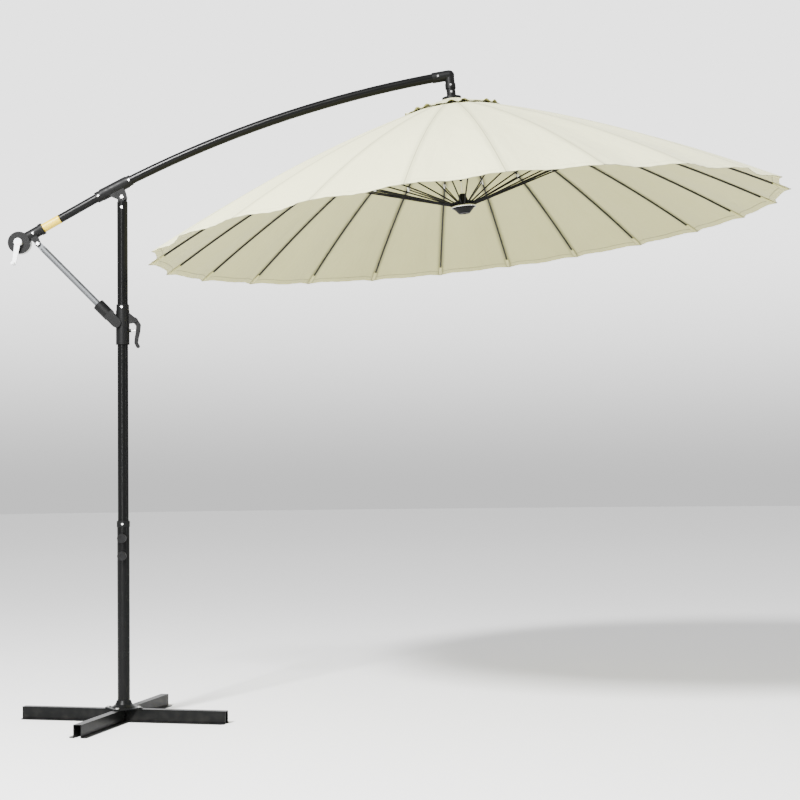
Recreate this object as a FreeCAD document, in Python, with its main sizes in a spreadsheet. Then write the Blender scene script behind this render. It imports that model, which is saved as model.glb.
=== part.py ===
import FreeCAD, Part
import math
import os

# Cantilever garden parasol. Millimetres, +Z up, X along the arm toward the canopy,
# origin on the floor under the axis of the pole.

Vector = FreeCAD.Vector
Placement = FreeCAD.Placement
Rotation = FreeCAD.Rotation
ORIGIN = Vector(0, 0, 0)
ACROSS = Vector(0, 1, 0)
UP = Vector(0, 0, 1)

SIZES = [
    # cross base
    ("bar_length", 843, "length of each leg bar"),
    ("bar_web", 32, "outside width of a bar's raised middle"),
    ("bar_height", 48, "height of a bar"),
    ("bar_flange", 20, "width of each foot flange"),
    ("bar_wall", 3, "sheet thickness of a bar"),
    ("bar_corner", 12, "corner radius of the flanges"),
    ("base_turn", -13.6, "turn of the cross about the pole, degrees"),
    ("plate_side", 116, "side of the square foot plate"),
    ("plate_thick", 5, "thickness of the foot plate"),
    ("bolt_d", 8, "foot bolt thread diameter"),
    ("flare_height", 27, "height of the flared pole foot"),
    # pole
    ("lower_wall", 2, "wall of the lower pole"),
    ("lower_top", 750, "height of the lower pole's top end"),
    ("upper_d", 42, "outside diameter of the upper pole"),
    ("upper_wall", 1.8, "wall of the upper pole"),
    ("upper_bottom", 590, "height of the upper pole's bottom end"),
    ("upper_top", 2024, "height of the upper pole's top end"),
    ("collar_height", 24, "height of the joint collar"),
    ("knob_high", 707, "height of the upper knob"),
    ("knob_low", 639, "height of the lower knob"),
    ("knob_d", 35, "knob diameter"),
    ("knob_thick", 14, "knob thickness"),
    # arm pivot
    ("pivot_rise", 21.6, "arm pivot above the upper pole's top end"),
    ("pivot_pin_d", 8, "pivot pin diameter"),
    ("head_width", 35, "width of the pole head's tongue"),
    ("tongue_thick", 16, "thickness of the tongue"),
    ("ear_thick", 7.5, "thickness of each pivot ear"),
    ("axis_clear", 22.2, "pivot to the underside of the sleeve"),
    ("arm_slope", 27.1, "slope of the arm above the pivot, degrees"),
    ("sleeve_rear", 68, "sleeve length behind the pivot"),
    ("sleeve_front", 46, "sleeve length in front of the pivot"),
    ("front_d", 36, "front tube diameter"),
    ("tube_wall", 1.2, "wall of the arm tubes"),
    ("arm_bend", 4445, "bend radius of the front tube"),
    ("arm_sweep", 17.906, "turn of the front tube from pivot to elbow, degrees"),
    ("rear_kink", 2.1, "angle between rear tube and sleeve, degrees"),
    # crank housing
    ("housing_reach", 356.7, "distance of the crank axis behind the kink"),
    ("housing_drop", 5.3, "distance of the crank axis below the rear tube's axis"),
    ("housing_d", 86, "diameter of the crank housing"),
    ("housing_thick", 44, "thickness of the crank housing"),
    ("shell_wall", 4, "wall of the housing shells"),
    ("crank_reach", 88, "crank arm length"),
    ("drum_d", 24, "drum core diameter"),
    ("coil_d", 36, "outside diameter of the wound cord"),
    ("cord_d", 3, "cord diameter"),
    # slider and strut
    ("slider_drop", 582.1, "slider's bottom end below the arm pivot"),
    ("slider_length", 134.7, "slider length"),
    ("strut_rise", 84, "strut pivot above the slider's bottom end"),
    ("lug_reach", 295.2, "strut pin behind the kink"),
    ("lug_drop", 45, "strut pin below the rear tube's axis"),
    ("strut_d", 25, "strut tube diameter"),
    ("ferrule_d", 47, "strut socket diameter"),
    ("ferrule_length", 64, "strut socket length"),
    ("fork_d", 38, "strut fork width"),
    # canopy frame
    ("canopy_tilt", -5.53, "lean of the canopy axis, degrees"),
    ("canopy_radius", 1250, "rim radius at the rib tips"),
    ("canopy_height", 540, "apex above the rim plane"),
    ("canopy_slope", 17, "slope of the cover at the apex, degrees"),
    ("cloth_thick", 0.8, "cover thickness"),
    ("scallop", 25, "depth of each rim scallop below the chord"),
    ("vent_hole", 110, "radius of the opening under the vent cap"),
    ("vent_radius", 197, "radius of the vent cap"),
    ("vent_lift", 6, "height of the vent cap above the cover"),
    ("vent_scallop", 6, "depth of the vent cap's scallops"),
    ("rib_count", 24, "number of ribs"),
    ("rib_phase", 3.4, "turn of the first rib, degrees"),
    ("rib_d", 7, "rib diameter"),
    ("hub_circle", 42, "radius of the rib hinge circle"),
    ("rib_inset", 25, "rib ends inside the rim radius"),
    ("clip_share", 0.492, "stretcher clips as a share of the rim radius"),
    ("clip_drop", 10.5, "stretcher pin below the rib's axis"),
    ("wire_d", 2.5, "hinge pin diameter"),
    ("stretcher_d", 6, "stretcher diameter"),
    ("runner_circle", 40, "radius of the stretcher hinge circle"),
    ("runner_z", 115, "stretcher hinges above the rim plane"),
    ("runner_d", 96, "runner flange diameter"),
    ("corner_rise", 94.2, "elbow corner above the apex"),
    ("post_d", 28, "canopy post diameter"),
    ("nose_z", 210, "bottom of the post's nose above the rim plane"),
    ("disc_d", 76, "top disc diameter"),
    ("disc_sink", 5, "underside of the top disc below the apex"),
    # clearances
    ("fit", 0.1, "radial running fit of large bores"),
    ("pin_fit", 0.05, "radial running fit of pins and screws"),
    ("gap", 0.4, "free gap between pieces that do not touch"),
]


class Dim(float):
    """A number that also carries its spreadsheet expression."""

    def __new__(cls, value, text):
        made = float.__new__(cls, value)
        made.text = text
        return made

    def _join(self, other, value, sign, swap=False):
        mine, theirs = self.text, written(other)
        if swap:
            mine, theirs = theirs, mine
        return Dim(value, "(" + mine + " " + sign + " " + theirs + ")")

    def __add__(self, other):
        return self._join(other, float(self) + float(other), "+")

    def __radd__(self, other):
        return self._join(other, float(other) + float(self), "+", True)

    def __sub__(self, other):
        return self._join(other, float(self) - float(other), "-")

    def __rsub__(self, other):
        return self._join(other, float(other) - float(self), "-", True)

    def __mul__(self, other):
        return self._join(other, float(self) * float(other), "*")

    def __rmul__(self, other):
        return self._join(other, float(other) * float(self), "*", True)

    def __truediv__(self, other):
        return self._join(other, float(self) / float(other), "/")


def written(number):
    return number.text if isinstance(number, Dim) else repr(round(float(number), 6))


doc = FreeCAD.newDocument("cantilever_parasol")
sheet = doc.addObject("Spreadsheet::Sheet", "sizes")


class Sizes:
    """Every driving size by name, bound to its spreadsheet cell."""


S = Sizes()
for row, (alias, value, meaning) in enumerate(SIZES, start=1):
    sheet.set("A%d" % row, alias)
    sheet.set("B%d" % row, repr(value))
    sheet.set("C%d" % row, meaning)
    sheet.setAlias("B%d" % row, alias)
    setattr(S, alias, Dim(value, "sizes." + alias))
doc.recompute()

# sizes that follow from the ones above
S.bolt_radius = S.plate_side / 2 + 4
S.lower_d = S.upper_d + 6
S.collar_d = S.lower_d + 3
S.slider_d = S.upper_d + 11
S.sleeve_d = S.front_d + 11
S.rear_d = S.front_d - 2
S.axis_offset = S.sleeve_d / 2 + S.axis_clear
S.pivot_z = S.upper_top + S.pivot_rise
S.slider_bottom = S.pivot_z - S.slider_drop
S.strut_pivot_z = S.slider_bottom + S.strut_rise
S.rib_reach = S.canopy_radius - S.rib_inset
S.clip_circle = S.canopy_radius * S.clip_share
S.corner_z = S.canopy_height + S.corner_rise
S.disc_z = S.canopy_height - S.disc_sink

NODES = []


def bind(obj, prop, number):
    setattr(obj, prop, float(number))
    if isinstance(number, Dim):
        obj.setExpression(prop, number.text)


def toward(at, direction):
    return Placement(at, Rotation(UP, direction))


def axes(at, x_axis, z_axis):
    return Placement(at, Rotation(x_axis, z_axis.cross(x_axis), z_axis, "ZXY"))


def in_plane(at, x_axis):
    """Frame in the arm's plane: local X as given, local Y across."""
    return axes(at, x_axis, x_axis.cross(ACROSS))


def slope(degrees):
    turn = math.radians(degrees)
    return Vector(math.cos(turn), 0, math.sin(turn))


def cylinder(name, radius, height, place):
    made = doc.addObject("Part::Cylinder", name)
    bind(made, "Radius", radius)
    bind(made, "Height", height)
    made.Placement = place
    return made


def cross_pin(name, radius, y_from, y_to, at):
    """Cylinder lying across the arm's plane between two Y values."""
    return cylinder(name, radius, y_to - y_from, toward(Vector(at.x, float(y_from), at.z), ACROSS))


def cone(name, low, high, height, place):
    made = doc.addObject("Part::Cone", name)
    bind(made, "Radius1", low)
    bind(made, "Radius2", high)
    bind(made, "Height", height)
    made.Placement = place
    return made


def ball(name, radius, at):
    made = doc.addObject("Part::Sphere", name)
    bind(made, "Radius", radius)
    made.Placement = Placement(at, Rotation())
    return made


def bent_rod(name, bend, radius, sweep, place):
    """Round rod bent about the local Z axis, starting on the local X axis."""
    made = doc.addObject("Part::Torus", name)
    bind(made, "Radius1", bend)
    bind(made, "Radius2", radius)
    bind(made, "Angle3", sweep)
    made.Placement = place
    return made


def block(name, size, centre, frame=Placement()):
    made = doc.addObject("Part::Box", name)
    bind(made, "Length", size[0])
    bind(made, "Width", size[1])
    bind(made, "Height", size[2])
    corner = Vector(*[float(c) - float(s) / 2 for c, s in zip(centre, size)])
    made.Placement = frame.multiply(Placement(corner, Rotation()))
    return made


def taper(name, start, end, length, thick, frame):
    """Plate with straight sides: start and end spans along local X, length along local Y."""
    made = doc.addObject("Part::Wedge", name)
    bind(made, "Xmin", start[0])
    bind(made, "Xmax", start[1])
    bind(made, "X2min", end[0])
    bind(made, "X2max", end[1])
    made.Ymin = 0
    bind(made, "Ymax", length)
    made.Zmin = 0
    made.Z2min = 0
    bind(made, "Zmax", thick)
    bind(made, "Z2max", thick)
    made.Placement = frame
    return made


def fuse(name, *parts):
    made = doc.addObject("Part::MultiFuse", name)
    made.Shapes = list(parts)
    made.Refine = True
    return made


def cut(name, base, *tools):
    made = doc.addObject("Part::Cut", name)
    made.Base = base
    made.Tool = tools[0] if len(tools) == 1 else fuse(name + "_cutters", *tools)
    return made


def common(name, *parts):
    made = doc.addObject("Part::MultiCommon", name)
    made.Shapes = list(parts)
    return made


def group(name, *parts):
    made = doc.addObject("Part::Compound", name)
    made.Links = list(parts)
    return made


def turned(name, part, degrees, frame=Placement()):
    made = group(name, part)
    made.Placement = frame.multiply(Placement(ORIGIN, Rotation(UP, degrees)))
    return made


def around(name, part, count, first=0.0):
    step = 360.0 / float(count)
    copies = [turned("%s_%d" % (name, k + 1), part, first + step * k) for k in range(int(count))]
    return group(name, *copies)


def node(name, made, frame=None):
    if frame is not None:
        made.Placement = frame.multiply(made.Placement)
    made.Label = name
    NODES.append((name, made))
    return made


def tube(name, outer, inner, length, place, over=1.0):
    """Tube whose bore cutter runs past both ends."""
    back = place.multiply(Placement(Vector(0, 0, -over), Rotation()))
    return cut(
        name,
        cylinder(name + "_outside", outer, length, place),
        cylinder(name + "_bore", inner, length + 2 * over, back),
    )


# ---------------------------------------------------------------- cross base
BASE = Placement(ORIGIN, Rotation(UP, float(S.base_turn)))
plate_bottom = S.bar_height
plate_top = S.bar_height + S.plate_thick
full_width = S.bar_web + 2 * S.bar_flange


def leg_bar(name):
    """Hat-section bar along local X with rounded flange corners."""
    inset = S.bar_length / 2 - S.bar_corner
    side = full_width / 2 - S.bar_corner
    corners = [
        cylinder("%s_corner_%d" % (name, k), S.bar_corner, S.bar_wall,
                 Placement(Vector(float(inset) * sx, float(side) * sy, 0), Rotation()))
        for k, (sx, sy) in enumerate(((1, 1), (1, -1), (-1, 1), (-1, -1)))
    ]
    middle = S.bar_wall / 2
    sheet_long = block(name + "_flange_long", (S.bar_length, full_width - 2 * S.bar_corner, S.bar_wall),
                       (0, 0, middle))
    sheet_wide = block(name + "_flange_wide", (S.bar_length - 2 * S.bar_corner, full_width, S.bar_wall),
                       (0, 0, middle))
    raised = block(name + "_raised", (S.bar_length, S.bar_web, S.bar_height), (0, 0, S.bar_height / 2))
    hollow = block(name + "_hollow",
                   (S.bar_length + 2, S.bar_web - 2 * S.bar_wall, S.bar_height - S.bar_wall + 1),
                   (0, 0, (S.bar_height - S.bar_wall - 1) / 2))
    holes = [
        cylinder("%s_bolt_hole_%d" % (name, k), S.bolt_d / 2 + S.pin_fit, 2 * S.plate_thick + 4,
                 Placement(Vector(float(S.bolt_radius) * side_sign, 0, float(S.bar_height) - 10),
                           Rotation()))
        for k, side_sign in enumerate((1, -1))
    ]
    solid = fuse(name + "_outline", raised, sheet_long, sheet_wide, *corners)
    return solid, hollow, holes


lap = S.bar_height / 2
solid, hollow, holes = leg_bar("long_bar")
upper_notch = block("long_bar_notch", (S.bar_web + 2 * S.gap, S.bar_web + 2, lap + 1),
                    (0, 0, lap * 1.5 + 0.5))
node("long_leg_bar", cut("long_leg_bar", solid, hollow, upper_notch, *holes), BASE)

solid, hollow, holes = leg_bar("cross_bar")
lower_notch = block("cross_bar_notch", (full_width + 2 * S.gap, full_width + 2, lap + S.gap + 1),
                    (0, 0, (lap + S.gap - 1) / 2))
CROSSED = BASE.multiply(Placement(ORIGIN, Rotation(UP, 90)))
node("cross_leg_bar", cut("cross_leg_bar", solid, hollow, lower_notch, *holes), CROSSED)

# square plate with its corners over the four legs, and the flare welded round the pole's foot
square = block("plate_square", (S.plate_side, S.plate_side, S.plate_thick),
               (0, 0, plate_bottom + S.plate_thick / 2), Placement(ORIGIN, Rotation(UP, 45)))
trim = cylinder("plate_trim", S.bolt_radius + 14, S.plate_thick + 2,
                Placement(Vector(0, 0, float(plate_bottom) - 1), Rotation()))
flare_low = cone("plate_flare_low", S.lower_d / 2 + 25, S.lower_d / 2 + 9, S.flare_height * 0.45,
                 Placement(Vector(0, 0, float(plate_top)), Rotation()))
flare_high = cone("plate_flare_high", S.lower_d / 2 + 9, S.lower_d / 2 + 3, S.flare_height * 0.55,
                  Placement(Vector(0, 0, float(plate_top + S.flare_height * 0.45)), Rotation()))
seat = cylinder("plate_pole_seat", S.lower_d / 2 + S.pin_fit, S.flare_height + 2,
                Placement(Vector(0, 0, float(plate_top)), Rotation()))
bolt_way = cylinder("plate_bolt_way", S.bolt_d / 2 + S.pin_fit, S.plate_thick + 4,
                    Placement(Vector(float(S.bolt_radius), 0, float(plate_bottom) - 2), Rotation()))
plate = fuse("plate_and_flare", common("plate_shape", square, trim), flare_low, flare_high)
node("foot_plate", cut("foot_plate", plate, seat, around("plate_bolt_ways", bolt_way, 4)), BASE)

bolt_at = float(S.bolt_radius)
shank = cylinder("bolt_shank", S.bolt_d / 2, 24, Placement(Vector(bolt_at, 0, float(plate_top) - 20),
                                                           Rotation()))
bolt_head = cylinder("bolt_head", S.bolt_d * 0.85, 4.5,
                     Placement(Vector(bolt_at, 0, float(plate_top)), Rotation()))
nut_low = float(plate_bottom - S.bar_wall) - 6.5
nut = tube("bolt_nut", S.bolt_d * 0.8, S.bolt_d / 2 + S.pin_fit, 6.5,
           Placement(Vector(bolt_at, 0, nut_low), Rotation()))
bolt = group("bolt_and_nut", fuse("bolt", shank, bolt_head), nut)
node("foot_bolts", around("foot_bolts", bolt, 4), BASE)

# ---------------------------------------------------------------- pole
stand = Placement(Vector(0, 0, float(plate_top)), Rotation())
knob_heights = (("upper", S.knob_high), ("lower", S.knob_low))
screw_r = 4.0
pole_length = S.lower_top - plate_top
bosses = [
    cross_pin("knob_boss_" + word, screw_r + 5, -float(S.lower_d) / 2 - 5.5, -float(S.lower_d) / 2 + 1.8,
              Vector(0, 0, float(height)))
    for word, height in knob_heights
]
screw_ways = [
    cross_pin("knob_way_" + word, screw_r + S.pin_fit, -40.0, -5.0, Vector(0, 0, float(height)))
    for word, height in knob_heights
]
lower_outside = cylinder("lower_pole_outside", S.lower_d / 2, pole_length, stand)
lower_bore = cylinder("lower_pole_bore", S.lower_d / 2 - S.lower_wall, pole_length + 2,
                      Placement(Vector(0, 0, float(plate_top) - 1), Rotation()))
node("lower_pole", cut("lower_pole", fuse("lower_pole_solid", lower_outside, *bosses), lower_bore,
                       *screw_ways))

for word, height in knob_heights:
    face = -float(S.lower_d) / 2 - 6
    at = Vector(0, 0, float(height))
    shank_end = -float(S.upper_d) / 2 - float(S.gap)
    head = cross_pin("knob_%s_head" % word, S.knob_d / 2, face - float(S.knob_thick), face, at)
    thread = cross_pin("knob_%s_thread" % word, screw_r, face - 2, shank_end, at)
    recess = cross_pin("knob_%s_recess" % word, S.knob_d / 4, face - float(S.knob_thick) - 1,
                       face - float(S.knob_thick) + 2, at)
    node("knob_" + word, cut("knob_" + word, fuse("knob_%s_solid" % word, head, thread), recess))

collar_foot = Placement(Vector(0, 0, float(S.lower_top) + 0.2), Rotation())
spigot_length = 34.0
spigot = cylinder("joint_collar_spigot", S.lower_d / 2 - S.lower_wall - S.fit, spigot_length,
                  Placement(Vector(0, 0, float(S.lower_top) + 1 - spigot_length), Rotation()))
collar_ring = cylinder("joint_collar_ring", S.collar_d / 2, S.collar_height, collar_foot)
collar_bore = cylinder("joint_collar_bore", S.upper_d / 2 + S.fit, S.collar_height + spigot_length + 4,
                       Placement(Vector(0, 0, float(S.lower_top) - spigot_length - 1), Rotation()))
button_z = float(S.lower_top) + float(S.collar_height) / 2
button_r = 4.0
button_way = cross_pin("button_way", button_r + 0.3, -30.0, -5.0, Vector(0, 0, button_z))
node("joint_collar", cut("joint_collar", fuse("joint_collar_solid", spigot, collar_ring), collar_bore,
                         button_way))

head_rivet_z = float(S.upper_top) - 20
stop_z = float(S.slider_bottom + S.slider_length) + 0.6
stop_height = 22.0
stop_rivet_z = stop_z + stop_height / 2
head_rivet_r = 3.0
stop_rivet_r = 2.5
head_way = cross_pin("head_rivet_way", head_rivet_r + S.pin_fit, -30.0, 30.0, Vector(0, 0, head_rivet_z))
stop_way = cross_pin("stop_rivet_way", stop_rivet_r + S.pin_fit, -30.0, 30.0, Vector(0, 0, stop_rivet_z))
upper_length = S.upper_top - S.upper_bottom
upper_foot = Placement(Vector(0, 0, float(S.upper_bottom)), Rotation())
upper_outside = cylinder("upper_pole_outside", S.upper_d / 2, upper_length, upper_foot)
upper_bore = cylinder("upper_pole_bore", S.upper_d / 2 - S.upper_wall, upper_length + 2,
                      Placement(Vector(0, 0, float(S.upper_bottom) - 1), Rotation()))
node("upper_pole", cut("upper_pole", upper_outside, upper_bore, button_way, head_way, stop_way))

stop_tube = tube("stop_ring", S.upper_d / 2 + 4, S.upper_d / 2 + S.fit, stop_height,
                 Placement(Vector(0, 0, stop_z), Rotation()))
node("stop_collar", cut("stop_collar", stop_tube, stop_way))

PIVOT = Vector(0, 0, float(S.pivot_z))
plug_length = 62.0
plug = cylinder("head_plug", S.upper_d / 2 - S.upper_wall - S.fit, plug_length + 1,
                Placement(Vector(0, 0, float(S.upper_top) - plug_length), Rotation()))
cap = cylinder("head_cap", S.upper_d / 2, 2.5, Placement(Vector(0, 0, float(S.upper_top) + 0.05),
                                                         Rotation()))
tongue = block("head_tongue", (S.head_width, S.tongue_thick, S.pivot_z - S.upper_top - 1),
               (0, 0, (S.pivot_z + S.upper_top + 1) / 2))
tongue_end = cross_pin("head_tongue_end", S.head_width / 2, -float(S.tongue_thick) / 2,
                       float(S.tongue_thick) / 2, PIVOT)
pivot_way = cross_pin("pivot_way", S.pivot_pin_d / 2 + S.pin_fit, -30.0, 30.0, PIVOT)
node("pole_head", cut("pole_head", fuse("head_solid", plug, cap, tongue, tongue_end), pivot_way, head_way))


def rivet(name, radius, half, head_r, at):
    """Rivet across the arm's plane with a flat head at each end."""
    stem = cross_pin(name + "_stem", radius, -half - 1, half + 1, at)
    front = cross_pin(name + "_front", head_r, -half - 2, -half, at)
    back = cross_pin(name + "_back", head_r, half, half + 2, at)
    return fuse(name, stem, front, back)


button = cross_pin("snap_button", button_r, -float(S.collar_d) / 2 - 1.5, -16.0, Vector(0, 0, button_z))
leaf = block("snap_leaf", (7, 0.8, 70), (0, -17.9, button_z - 28))
node("pole_pins", group(
    "pole_pins",
    rivet("head_rivet", head_rivet_r, float(S.upper_d) / 2 + 0.1, 5.0, Vector(0, 0, head_rivet_z)),
    rivet("stop_rivet", stop_rivet_r, float(S.upper_d) / 2 + 4.1, 4.5, Vector(0, 0, stop_rivet_z)),
    fuse("snap_lock", button, leaf),
))

# ---------------------------------------------------------------- slider, lever, plunger
slider_foot = Placement(Vector(0, 0, float(S.slider_bottom)), Rotation())
KNUCKLE = Vector(-float(S.upper_d) / 2, 0, float(S.strut_pivot_z))
slider_half = float(S.slider_d) / 2
LEVER = Vector(slider_half + 20.8, 0, float(S.strut_pivot_z) + 12.3)
lever_half = 5.0
ear_gap = float(S.gap)
trunnion_r = 4.5
body_tube = cylinder("slider_tube", S.slider_d / 2, S.slider_length, slider_foot)
knuckle_boss = cross_pin("slider_boss", 11, -slider_half - 0.7, slider_half + 0.7, KNUCKLE)
trunnion = cross_pin("slider_trunnion", trunnion_r, -slider_half - 7.6, slider_half + 7.6, KNUCKLE)
lever_ears = []
for word, low in (("front", -lever_half - ear_gap - 4), ("back", lever_half + ear_gap)):
    ear_frame = axes(Vector(slider_half - 4.5, low, LEVER.z), UP, ACROSS)
    lever_ears.append(taper("lever_ear_" + word, (-14, 32), (-10.8, 10.8), 25.3, 4, ear_frame))
    lever_ears.append(cross_pin("lever_ear_end_" + word, 11, low, low + 4, LEVER))
plunger_z = float(S.strut_pivot_z) - 29
along_x = Vector(1, 0, 0)
plunger_boss = cylinder("plunger_boss", 7, 13, toward(Vector(slider_half - 6.5, 0, plunger_z), along_x))
plunger_way = cylinder("plunger_way", 2.5 + S.pin_fit, 30, toward(Vector(10, 0, plunger_z), along_x))
slider_bore = cylinder("slider_bore", S.upper_d / 2 + S.fit, S.slider_length + 2,
                       Placement(Vector(0, 0, float(S.slider_bottom) - 1), Rotation()))
lever_pin_r = 3.0
lever_way = cross_pin("lever_way", lever_pin_r + S.pin_fit, -20.0, 20.0, LEVER)
slider_solid = fuse("slider_solid", body_tube, knuckle_boss, trunnion, plunger_boss, *lever_ears)
node("slider_body", cut("slider_body", slider_solid, slider_bore, plunger_way, lever_way))

plunger_from = float(S.upper_d) / 2 + 0.4
stem = cylinder("plunger_stem", 2.5, LEVER.x + 1 - plunger_from,
                toward(Vector(plunger_from, 0, plunger_z), along_x))
button_end = cylinder("plunger_end", 5, 4, toward(Vector(LEVER.x - 0.3, 0, plunger_z), along_x))
node("lock_plunger", fuse("lock_plunger", stem, button_end))

lever_points = [
    (LEVER.x, LEVER.z, 10.5),
    (LEVER.x + 14.5, LEVER.z - 20.0, 9.0),
    (LEVER.x + 13.2, LEVER.z - 44.0, 8.2),
    (LEVER.x + 7.6, LEVER.z - 70.0, 7.6),
    (LEVER.x + 5.2, LEVER.z - 90.0, 6.8),
    (LEVER.x + 12.5, LEVER.z - 103.5, 7.2),
]
lever_parts = []
for k, (x, z, r) in enumerate(lever_points):
    lever_parts.append(cross_pin("lever_joint_%d" % k, r, -lever_half, lever_half, Vector(x, 0, z)))
for k in range(len(lever_points) - 1):
    (x0, z0, r0), (x1, z1, r1) = lever_points[k], lever_points[k + 1]
    run = Vector(x1 - x0, 0, z1 - z0)
    lean = math.asin((r0 - r1) / run.Length)
    shift0 = (r0 * math.cos(lean), r0 * math.sin(lean))
    shift1 = (r1 * math.cos(lean), r1 * math.sin(lean))
    span = run.Length + shift1[1] - shift0[1]
    ahead = Vector(run)
    ahead.normalize()
    start = Vector(x0, -lever_half, z0) + ahead * shift0[1]
    side = ACROSS.cross(ahead) * -1
    link_frame = axes(start, ahead.cross(ACROSS), ACROSS)
    lever_parts.append(taper("lever_link_%d" % k, (-shift0[0], shift0[0]), (-shift1[0], shift1[0]), span,
                             2 * lever_half, link_frame))
lever_pin = cross_pin("lever_pin", lever_pin_r, -lever_half - 6, lever_half + 6, LEVER)
node("clamp_lever", fuse("clamp_lever", lever_pin, *lever_parts))

# ---------------------------------------------------------------- frames of the arm and the strut
ARM = in_plane(PIVOT, slope(float(S.arm_slope)))
BEND_CENTRE = ARM.multVec(Vector(0, 0, float(S.axis_offset) - float(S.arm_bend)))
arm_x = ARM.Rotation.multVec(Vector(1, 0, 0))
kink = ARM.multVec(Vector(-(float(S.sleeve_rear) + 16), 0, float(S.axis_offset) - 0.8))
REAR = in_plane(kink, slope(float(S.arm_slope) + float(S.rear_kink) + 180))
rear_x = REAR.Rotation.multVec(Vector(1, 0, 0))
lug_at = Vector(float(S.lug_reach), 0, float(S.lug_drop))
PIN = REAR.multVec(lug_at)
strut_length = (PIN - KNUCKLE).Length
strut_lean = math.degrees(math.atan2(PIN.z - KNUCKLE.z, PIN.x - KNUCKLE.x))
STRUT = in_plane(KNUCKLE, slope(strut_lean))

# ---------------------------------------------------------------- strut
ear_in = slider_half + 1.1
ear_out = ear_in + 6
reach0 = 38.0
ferrule0 = 43.0
fork_ears = []
for word, low in (("front", -ear_out), ("back", ear_in)):
    fork_ears.append(block("fork_ear_" + word, (reach0 + 6, 6, S.fork_d),
                           ((reach0 + 6) / 2, low + 3, 0), STRUT))
    fork_ears.append(cross_pin("fork_ear_end_" + word, S.fork_d / 2, low, low + 6, KNUCKLE))
bridge = block("fork_bridge", (12, 2 * ear_out, S.fork_d), (reach0 + 6, 0, 0), STRUT)
along_strut = STRUT.Rotation.multVec(Vector(1, 0, 0))
ferrule = cylinder("fork_ferrule", S.ferrule_d / 2, S.ferrule_length,
                   toward(STRUT.multVec(Vector(ferrule0, 0, 0)), along_strut))
socket = cylinder("fork_socket", S.strut_d / 2 + S.pin_fit, S.ferrule_length,
                  toward(STRUT.multVec(Vector(ferrule0 + 10, 0, 0)), along_strut))
fork_way = cross_pin("fork_way", trunnion_r + S.pin_fit, -50.0, 50.0, KNUCKLE)
node("strut_fork", cut("strut_fork", fuse("fork_solid", bridge, ferrule, *fork_ears), socket, fork_way))

strut_start = ferrule0 + 11
strut_run = strut_length - 22 - strut_start
strut_tube = tube("strut_round", S.strut_d / 2, S.strut_d / 2 - 1.5, strut_run,
                  toward(STRUT.multVec(Vector(strut_start, 0, 0)), along_strut))
flat = block("strut_flat", (34, 18, 22), (strut_length - 17, 0, 0), STRUT)
flat_end = cross_pin("strut_flat_end", 11, -9.0, 9.0, PIN)
slack = 2.0
pin_r = 4.0
open_way = cross_pin("strut_open_way", pin_r + slack, -20.0, 20.0, PIN)
node("strut_tube", cut("strut_tube", fuse("strut_solid", strut_tube, flat, flat_end), open_way))

# ---------------------------------------------------------------- arm


def arc_frame(centre, degrees):
    """Frame for an arc in the arm's plane that starts at a world angle and runs clockwise."""
    return axes(centre, slope(degrees), ACROSS)


def arm_angle(distance):
    """World angle on the arm's bend at a distance past the pivot."""
    return float(S.arm_slope) + 90 - math.degrees(distance / float(S.arm_bend))


tube_in = 43.0
corner_gap = 26.0
front_sweep = float(S.arm_sweep) + math.degrees((tube_in - corner_gap) / float(S.arm_bend))
front_start = arm_angle(-tube_in)
extra = 0.05
front_outside = bent_rod("front_outside", S.arm_bend, S.front_d / 2, front_sweep,
                         arc_frame(BEND_CENTRE, front_start))
front_inside = bent_rod("front_inside", S.arm_bend, S.front_d / 2 - S.tube_wall, front_sweep + 2 * extra,
                        arc_frame(BEND_CENTRE, front_start + extra))

rear_in = -34.0
rear_end = float(S.housing_reach) - 45
rear_from = toward(REAR.multVec(Vector(rear_in, 0, 0)), rear_x)

screw_hole = 2.0


def wall_screws(name, at, radius, depth=5.0):
    """Front and back screws that stop inside the wall, clear of the cord."""
    made = []
    for word, sign in (("front", -1), ("back", 1)):
        base = Vector(at.x, sign * (radius + 0.1), at.z)
        inward = Vector(0, -sign, 0)
        stem_part = cylinder("%s_%s_stem" % (name, word), screw_hole, depth + 1,
                             toward(base + inward * -1, inward))
        head_part = cylinder("%s_%s_head" % (name, word), 4, 1.8, toward(base, inward * -1))
        made.append(fuse("%s_%s" % (name, word), stem_part, head_part))
    return made


def screw_way(name, at):
    return cross_pin(name, screw_hole + S.pin_fit, -40.0, 40.0, at)


sleeve_r = float(S.sleeve_d) / 2
rear_screw_at = REAR.multVec(Vector(-4, 0, 0))
front_screw_at = ARM.multVec(Vector(float(S.sleeve_front) + 9, 0, float(S.axis_offset) - 0.3))
neck_screw_at = REAR.multVec(Vector(float(S.housing_reach) - 66, 0, 0))
rear_way = screw_way("rear_screw_way", rear_screw_at)
front_way = screw_way("front_screw_way", front_screw_at)
neck_way = screw_way("neck_screw_way", neck_screw_at)

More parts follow.
